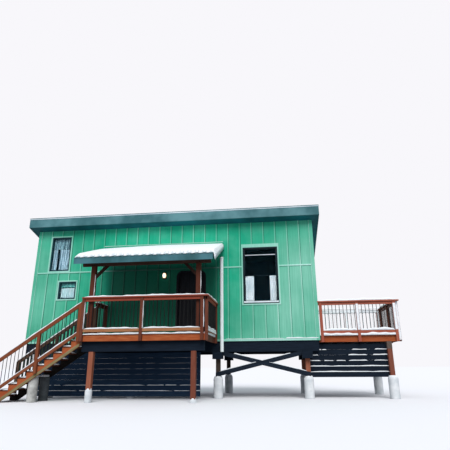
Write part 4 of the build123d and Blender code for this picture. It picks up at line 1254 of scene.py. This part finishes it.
def sloped_rail(node):
    """A stair's guard rail: posts, handrail and low rail cut plumb, snow, and round bars, or on the
    far one near-black pickets, painted shade for the dark below its handrail."""
    low, high = node_box(node)
    near, far = low[0], high[0]
    middle = (low[1] + high[1]) / 2
    on_far_side = node.endswith("far")
    timbers = []
    middle_post = HOUSE_LEFT + STAIR_POST_PLACE - RAIL_POST / 2
    middle_foot = nosing_line(middle_post + RAIL_POST / 2) - STRINGER_DEPTH + STAIR_EDGE_BOARD
    for post_x, foot in ((near, 0.0), (middle_post, middle_foot), (far - RAIL_POST, RIM_FOOT)):
        x = post_x + RAIL_POST / 2
        top = nosing_line(post_x) + HANDRAIL_OVER - 0.020
        timbers.append([[x, middle, foot], [x, middle, top], X * RAIL_POST, Y * RAIL_POST])
    snow = []
    for over, deep in ((HANDRAIL_OVER, HANDRAIL_DEPTH), (STAIR_LOW_OVER, STAIR_LOW_DEPTH)):
        ends = [[x, middle, nosing_line(x) + over - deep / 2] for x in (near, far)]
        timbers.append([*ends, Y * RAIL_THICKNESS, Z * deep])
        ends = [[x, middle, nosing_line(x) + over - SINK] for x in (near, far)]
        snow.append([*ends, Y * (RAIL_THICKNESS + 0.004), Z * 0.046])
    count = round((far - near) / BALUSTER_PITCH)
    bars = []
    for bar in range(1, count):
        x = near + bar * (far - near) / count
        foot = nosing_line(x) + STAIR_LOW_OVER - 0.01
        bars.append(([x, middle, foot], [x, middle, nosing_line(x) + HANDRAIL_OVER - HANDRAIL_DEPTH + 0.01]))
    # Painted shade: the far rail's timbers and pickets are drawn dark.
    finish = FAR_RAIL if on_far_side else STAIR_RAIL
    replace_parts(boards(f"{node}_timbers", timbers, finish), node)
    if on_far_side:
        pickets = [[*ends, X * PICKET_WIDTH, Y * PICKET_THICKNESS] for ends in bars]
        boards(f"{node}_pickets", pickets, PICKET_SHADE)
    else:
        balusters(f"{node}_balusters", bars)
    snow_ridges(f"{node}_snow", snow)


treads()
sloped_rail("stair_railing_near")
sloped_rail("stair_railing_far")


# Decks and timbers


def deck_planks():
    """Deck boards along X on both decks, with gaps between them."""
    runs = []
    for low, high in DECK_BOARDS:
        count = round((high[1] - low[1]) / (DECK_BOARD + DECK_BOARD_GAP))
        pitch = (high[1] - low[1]) / count
        for board in range(count):
            start = low[1] + board * pitch
            y_range = (start + DECK_BOARD_GAP / 2, start + pitch - DECK_BOARD_GAP / 2)
            runs.append(((low[0], high[0]), y_range, (low[2], high[2])))
    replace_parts(boards("deck_planks", runs, DECK_WOOD), "deck_boards")


def deck_framing():
    """Rim boards and joists of both decks. The boards beside the house are dark like the joists,
    and so is the inner half of each rear rim. The porch's right rim board wears the darker stain, painted
    shade."""
    rims = []
    end_rims = []
    joists = []
    for low, high in DECK_BOARDS:
        x_range = (low[0], high[0])
        z_range = (RIM_FOOT, low[2])
        on_porch = high[1] < FRONT + 0.01
        rims.append((x_range, (low[1], low[1] + JOIST), z_range))
        joists.append((x_range, (high[1] - JOIST, high[1] - JOIST / 2), z_range))
        outer_half = (x_range, (high[1] - JOIST / 2, high[1]), z_range)
        (joists if on_porch else rims).append(outer_half)
        bays = round((high[0] - low[0]) / BATTEN_PITCH)
        pitch = (high[0] - low[0] - JOIST) / bays
        for joist in range(bays + 1):
            start = low[0] + joist * pitch
            run = ((start, start + JOIST), (low[1] + JOIST, high[1] - JOIST), z_range)
            if joist == bays:
                (end_rims if on_porch else rims).append(run)
            else:
                (rims if joist == 0 and on_porch else joists).append(run)
    rim_boards = boards("deck_rim_boards", rims, STAINED)
    boards("porch_end_rim_board", end_rims, STAINED_SHADE)
    boards("deck_joists", joists, DARK_TIMBER)
    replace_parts(rim_boards, "deck_frames")


def framework():
    """Girders, posts and beams under and around the house, each the box of its CAD solid."""

    def squared(*nodes, left_of=math.inf, from_x=-math.inf):
        boxes = [box for node in nodes for box in island_boxes(node)]
        return [tuple(zip(low, high)) for low, high in boxes if from_x <= low[0] < left_of]

    girders = ("floor_girders", "floor_cross_beams")
    timbers = boards("house_girder_timbers", squared(*girders), DARK_TIMBER)
    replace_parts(timbers, *girders)
    porch_run, side_run = squared("deck_beams")
    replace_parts(boards("deck_beam_timber", [porch_run], DARK_TIMBER), "deck_beams")
    boards("side_girder_timber", [side_run], BROWN_TIMBER)
    # Painted shade: the porch posts wear the darker stain.
    for name, node, finish, slot in (
        ("bolster_timbers", "bolster_blocks", DARK_TIMBER, "dark_timber"),
        ("porch_post_timbers", "porch_posts", STAINED_SHADE, "stained_timber"),
    ):
        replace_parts(boards(name, squared(node), finish), node)
    # Painted shade: the left house post and the right deck posts wear darker copies of the stain.
    for name, node, split, left_finish, right_finish in (
        ("house_post_timbers", "house_posts", 2.0, GREY_POST, STAINED_POST),
        ("deck_post_timbers", "deck_posts", -2.0, STAINED_POST, SHADED_POST),
    ):
        left = squared(node, left_of=split)
        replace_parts(boards(f"{name}_left", left, left_finish), node)
        boards(f"{name}_right", squared(node, from_x=split), right_finish)


def slat_rows(name, node, rows, studs, finish):
    """Horizontal slats in front of upright studs. rows holds the X range and the top of each
    slat, and studs the left edge of each stud."""
    low, high = node_box(node)
    face = low[1] + SLAT_THICKNESS
    runs = [(x_range, (low[1], face), (top - SLAT_HEIGHT, top)) for x_range, top in rows]
    runs += [((left, left + STUD), (face, high[1]), (low[2], high[2])) for left in studs]
    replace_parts(boards(name, runs, finish), node)


def gaps_in(left, right, count, widest):
    """Stretches of an edge with bare places between them, of uneven length up to the widest."""
    cuts = np.sort(RANDOM.uniform(left + 0.2, right - 0.2, count))
    starts = [left, *(cuts + RANDOM.uniform(0.2, 1.0, count) * widest)]
    ends = [*cuts, right]
    return [(a, b) for a, b in zip(starts, ends) if b - a > 0.12]


# Shares of a slat's length where snow lies, from the upper slat to the lowest
SLAT_SNOW = (
    ((0.12, 0.16), (0.17, 0.22), (0.53, 0.71), (0.80, 0.99)),
    ((0.0, 0.16), (0.50, 0.72), (0.78, 0.99)),
    ((0.0, 0.18), (0.22, 0.33), (0.36, 0.47), (0.50, 0.72), (0.79, 1.0)),
    ((0.0, 1.0),),
    ((0.0, 1.0),),
)


def slats():
    """The slats under the side deck and in front of the girders behind the porch, with snow
    caught on their upper edges."""
    low, high = node_box("side_slats")
    side_face = low[1]
    girder_foot = node_box("floor_girders")[0][2]
    side_girder = island_boxes("deck_beams")[-1][0]
    side_post = island_boxes("deck_posts")[-1][1]
    post_low, post_high = island_boxes("house_posts")[-1]
    first = (post_low[0] + post_high[0]) / 2 + 0.045
    last = side_girder[0] - STUD
    side_rows = []
    for row in range(round((high[2] - low[2]) / SLAT_PITCH)):
        top = high[2] - row * SLAT_PITCH
        left = first if top > girder_foot else post_low[0]
        right = side_girder[0] if top > side_girder[2] else side_post[0]
        side_rows.append(((left, right), top))
    studs = (first, (first + last) / 2, last)
    slat_rows("side_deck_slats", "side_slats", side_rows, studs, DARK_TIMBER)
    low, high = node_box("porch_skirting")
    count = round((high[2] - low[2]) / SLAT_PITCH)
    rows = [((low[0], high[0]), high[2] - row * SLAT_PITCH) for row in range(count)]
    studs = np.linspace(low[0], high[0] - STUD, 4)
    slat_rows("porch_skirting_slats", "porch_skirting", rows, studs, SKIRT_TIMBER)
    snow = []
    for x_range, top in rows[-2:]:
        for span in gaps_in(*x_range, 5, 0.10):
            snow.append(lying(span, low[1], top - 0.004, 0.016, 0.020))
    for ((left, right), top), pieces in zip(side_rows[1:], SLAT_SNOW):
        for shares in pieces:
            span = [left + share * (right - left) for share in shares]
            snow.append(lying(span, side_face, top - 0.014, 0.030, 0.034))
    snow_ridges("side_slat_snow", snow, stations=14, points=7)


def brace_snow():
    """Snow on the upper edges of the two crossed boards under the house."""
    low, high = node_box("rising_brace")
    other_low, other_high = node_box("falling_brace")
    face = (low[1] + high[1]) / 2
    crossing = (other_low[0] + other_high[0] + low[0] + high[0]) / 4
    rise = (high[2] - BRACE_BOARD - low[2]) / (high[0] - low[0])
    up_hill = (low[0], low[2] + BRACE_BOARD, rise)
    down_hill = (other_low[0], other_high[2], -rise)
    runs = []
    for span, (start_x, start_z, slope) in (
        ((low[0] + 0.07 + 0.05, crossing - 0.18), up_hill),
        ((crossing, high[0] - 0.35), up_hill),
        ((other_low[0] + 0.35, crossing), down_hill),
        ((crossing + 0.18, other_high[0] - 0.1), down_hill),
    ):
        ends = [[x, face, start_z + slope * (x - start_x) - SINK] for x in span]
        runs.append([*ends, Y * (high[1] - low[1] + 0.004), Z * 0.036])
    snow_ridges("brace_snow", runs)


def deck_snow():
    """Snow on the side deck, along the outer edges of both decks and on the foot board."""
    trim_y = FRONT - TRIM_DEPTH / 2 - 0.004
    trim_z = FOOT_TRIM_TOP - 0.004
    trim_wide = TRIM_DEPTH + 0.008
    edge_z = DECK_TOP - 0.020
    runs = [
        lying((PORCH_LEFT + 0.02, PORCH_RIGHT - 0.02), PORCH_NEAR - 0.004, edge_z, 0.070, 0.065),
        lying((PORCH_NEAR, FRONT - 0.02), PORCH_RIGHT + 0.004, edge_z, 0.070, 0.100, Y),
        lying((SIDE_LEFT + 0.03, SIDE_RIGHT - 0.03), SIDE_NEAR - 0.030, DECK_TOP - 0.012, 0.110, 0.105),
        lying((SIDE_NEAR, SIDE_FAR), SIDE_RIGHT + 0.006, DECK_TOP - 0.055, 0.075, 0.115, Y),
        lying((0.80, 2.70), trim_y, trim_z, trim_wide, 0.016),
        lying((2.75, HOUSE_RIGHT - 0.02), trim_y, trim_z, trim_wide, 0.040),
    ]
    snow_ridges("deck_edge_snow", runs, stations=60)
    span = (SIDE_LEFT + 0.02, SIDE_RIGHT - 0.02)
    wide = SIDE_FAR - SIDE_NEAR - 0.02
    blanket = lying(span, (SIDE_NEAR + SIDE_FAR) / 2, DECK_TOP - SINK, wide, 0.070)
    snow_ridges("side_deck_snow", [blanket], stations=60, points=40, rough=0.08)


def post_snow():
    """Blown snow on the right faces of the porch's posts, and on the fronts of the side deck's
    corner post and front posts."""
    runs = []
    for low, high in island_boxes("porch_posts"):
        top = RAIL_TOP + 0.75 * (high[2] - RAIL_TOP)
        x, y = high[0] - SINK, low[1] + 0.025
        runs.append(standing(x, y, RAIL_TOP + 0.05, top, Y * 0.036, X * 0.016))
    y = PORCH_NEAR - RAIL_POST / 2
    for start in PORCH_POSTS:
        x = PORCH_LEFT + start + RAIL_POST - SINK
        runs.append(standing(x, y, LOW_RAIL_TOP, SUB_TOP - RAIL_HEIGHT, Y * 0.075, X * 0.018))
    x = SIDE_RIGHT + RAIL_POST / 2
    runs.append(standing(x, SIDE_NEAR + SINK, RIM_FOOT + 0.03, SUB_TOP, X * 0.086, Y * -0.035))
    y = SIDE_NEAR - RAIL_POST + SINK
    for start in SIDE_POSTS[1:]:
        x = SIDE_LEFT + start + RAIL_POST / 2
        runs.append(standing(x, y, LOW_RAIL_TOP, RAIL_TOP - 0.10, X * 0.084, Y * -0.022))
    snow_ridges("post_snow", runs, stations=40, rough=0.3)


def rear_rail_snow():
    """Blown snow on the front of the side deck's rear guard rail: a strip on the cap's edge, on
    both rails, on each post and on each bar."""
    middle = SIDE_FAR + RAIL_POST / 2
    rail_face = middle - RAIL_THICKNESS / 2 + SINK
    runs = []
    for y, foot, top, deep in (
        (SIDE_FAR - OVER + SINK, SUB_TOP - 0.012, RAIL_TOP - SINK, 0.022),
        (rail_face, SUB_TOP - RAIL_HEIGHT - 0.010, SUB_TOP + 0.030, 0.068),
        (rail_face, LOW_RAIL_FOOT, LOW_RAIL_TOP, 0.022),
    ):
        z = (foot + top) / 2
        ends = [[SIDE_LEFT + 0.02, y, z], [SIDE_RIGHT - 0.02, y, z]]
        runs.append([*ends, Z * (top - foot), Y * -deep])
    for start in REAR_POSTS:
        x = SIDE_RIGHT - start - RAIL_POST / 2
        runs.append(standing(x, SIDE_FAR + SINK, DECK_TOP + 0.05, SUB_TOP, X * 0.086, Y * -0.020))
    count = round(SIDE_RAIL / BALUSTER_PITCH)
    top = SUB_TOP - RAIL_HEIGHT
    for bar in range(1, count):
        x = SIDE_LEFT + bar * SIDE_RAIL / count
        runs.append(standing(x, middle - SINK, LOW_RAIL_TOP, top, X * 0.021, Y * -0.016))
    snow_ridges("rear_rail_snow", runs, stations=30, rough=0.12)


def door_corners():
    """Siding over the upper corners of the door frame, so that the dark opening has round
    shoulders: a plate whose inner edge is a quarter circle, from the frame's corner outwards."""
    low, high = DOOR_FRAME
    turn = np.linspace(0.12, np.pi / 2 - 0.12, 14)
    overlap = 0.006
    rings = []
    for corner, side in ((low[0], 1), (high[0], -1)):
        square_x = np.clip(1 - np.tan(turn.clip(0, np.pi / 4)), 0, 1)
        square_z = np.clip(1 - np.tan((np.pi / 2 - turn).clip(0, np.pi / 4)), 0, 1)
        arc_x = corner + side * DOOR_SHOULDER * (1 - np.sin(turn))
        arc_z = high[2] - DOOR_SHOULDER * (1 - np.cos(turn))
        edge_x = corner + side * (DOOR_SHOULDER * square_x - overlap)
        edge_z = high[2] - DOOR_SHOULDER * square_z + overlap
        near = np.full_like(turn, low[1] - 0.004)
        far = np.full_like(turn, low[1] + 0.010)
        around = ((arc_x, near, arc_z), (edge_x, near, edge_z), (edge_x, far, edge_z), (arc_x, far, arc_z))
        rings.append(np.stack([np.stack(line, axis=-1) for line in around], axis=1))
    lofted("door_corner_panels", rings, SIDING)


def stringer_edges():
    """The weathered boards along the lower edges of both stringers, a little proud of them."""
    low, high = node_box("stair_stringers")
    foot_x = high[0] - (DECK_TOP - STRINGER_DEPTH - 0.02) / STAIR_SLOPE
    runs = []
    for y in (low[1] - 0.004, high[1] + 0.004):
        ends = [
            [x, y, nosing_line(x) - STRINGER_DEPTH + STAIR_EDGE_BOARD / 2 + 0.002]
            for x in (foot_x + 0.03, high[0] - 0.002)
        ]
        runs.append([*ends, Y * 0.010, Z * STAIR_EDGE_BOARD])
    boards("stringer_edge_boards", runs, GREY_TIMBER)


deck_planks()
deck_framing()
framework()
slats()
brace_snow()
deck_snow()
post_snow()
rear_rail_snow()
door_corners()
stringer_edges()


# Stage, light and camera


def floor_and_backdrop():
    """A wide pale floor under a plain pale world."""
    mesh = bpy.data.meshes.new("floor")
    reach = 400.0
    corners = [(-reach, -reach, 0), (reach, -reach, 0), (reach, reach, 0), (-reach, reach, 0)]
    mesh.from_pydata(corners, [], [(0, 1, 2, 3)])
    floor = bpy.data.objects.new("floor", mesh)
    bpy.context.scene.collection.objects.link(floor)
    plain = {"Roughness": 0.95, "Specular_IOR_Level": 0.0}
    material, tree, shader, _ = new_finish("matt_pale_floor", **plain)
    path = add(tree, "LightPath", {})
    cover(shader, layers(tree, "#A9ACB2", (path.outputs["Is Camera Ray"], 1, "#F6F6F9")))
    mesh.materials.append(material)
    world = bpy.data.worlds.new("pale_world")
    bpy.context.scene.world = world
    world.use_nodes = True
    tree = world.node_tree
    tree.nodes.clear()
    path = add(tree, "LightPath", {})
    seen = path.outputs["Is Camera Ray"]
    for ray in ("Is Transmission Ray", "Is Glossy Ray"):
        seen = add(tree, "Math", {0: seen, 1: path.outputs[ray]}, operation="MAXIMUM")
    light = add(tree, "Background", {"Color": "#F1F6FF", "Strength": 0.60})
    backdrop = add(tree, "Background", {"Color": "#F8F7FB", "Strength": 1.0})
    both = add(tree, "MixShader", {0: seen, 1: light, 2: backdrop})
    add(tree, "OutputWorld", {"Surface": both})


def sun_light():
    """A wide soft lamp high in front of the house, as an overcast noon."""
    lamp = bpy.data.lights.new("soft_sun", "SUN")
    lamp.energy = 2.3
    lamp.angle = math.radians(35)
    holder = bpy.data.objects.new("soft_sun", lamp)
    bpy.context.scene.collection.objects.link(holder)
    holder.rotation_euler = (math.radians(47), 0, math.radians(8))


def photo_camera():
    """The camera at the place and angle of the photograph."""
    yaw, pitch, roll = -0.123338507, 0.318658421, -0.006187289
    place = (2.58778, -14.83377, 0.93119)
    focal_share = 430.58 / 450
    level = np.array([math.cos(yaw), -math.sin(yaw), 0.0])
    ahead = np.array([math.sin(yaw), math.cos(yaw), 0.0])
    forward = math.cos(pitch) * ahead + math.sin(pitch) * Z
    upright = np.cross(level, forward)
    right = math.cos(roll) * level + math.sin(roll) * upright
    up = -math.sin(roll) * level + math.cos(roll) * upright
    data = bpy.data.cameras.new("photo_camera")
    camera = bpy.data.objects.new("photo_camera", data)
    bpy.context.scene.collection.objects.link(camera)
    rows = [[right[i], up[i], -forward[i], place[i]] for i in range(3)]
    camera.matrix_world = Matrix(rows + [[0, 0, 0, 1]])
    data.sensor_width = 36
    data.lens = 36 * focal_share
    data.clip_end = 1000
    bpy.context.scene.camera = camera


floor_and_backdrop()
sun_light()
photo_camera()
bpy.context.scene.view_settings.view_transform = "Standard"
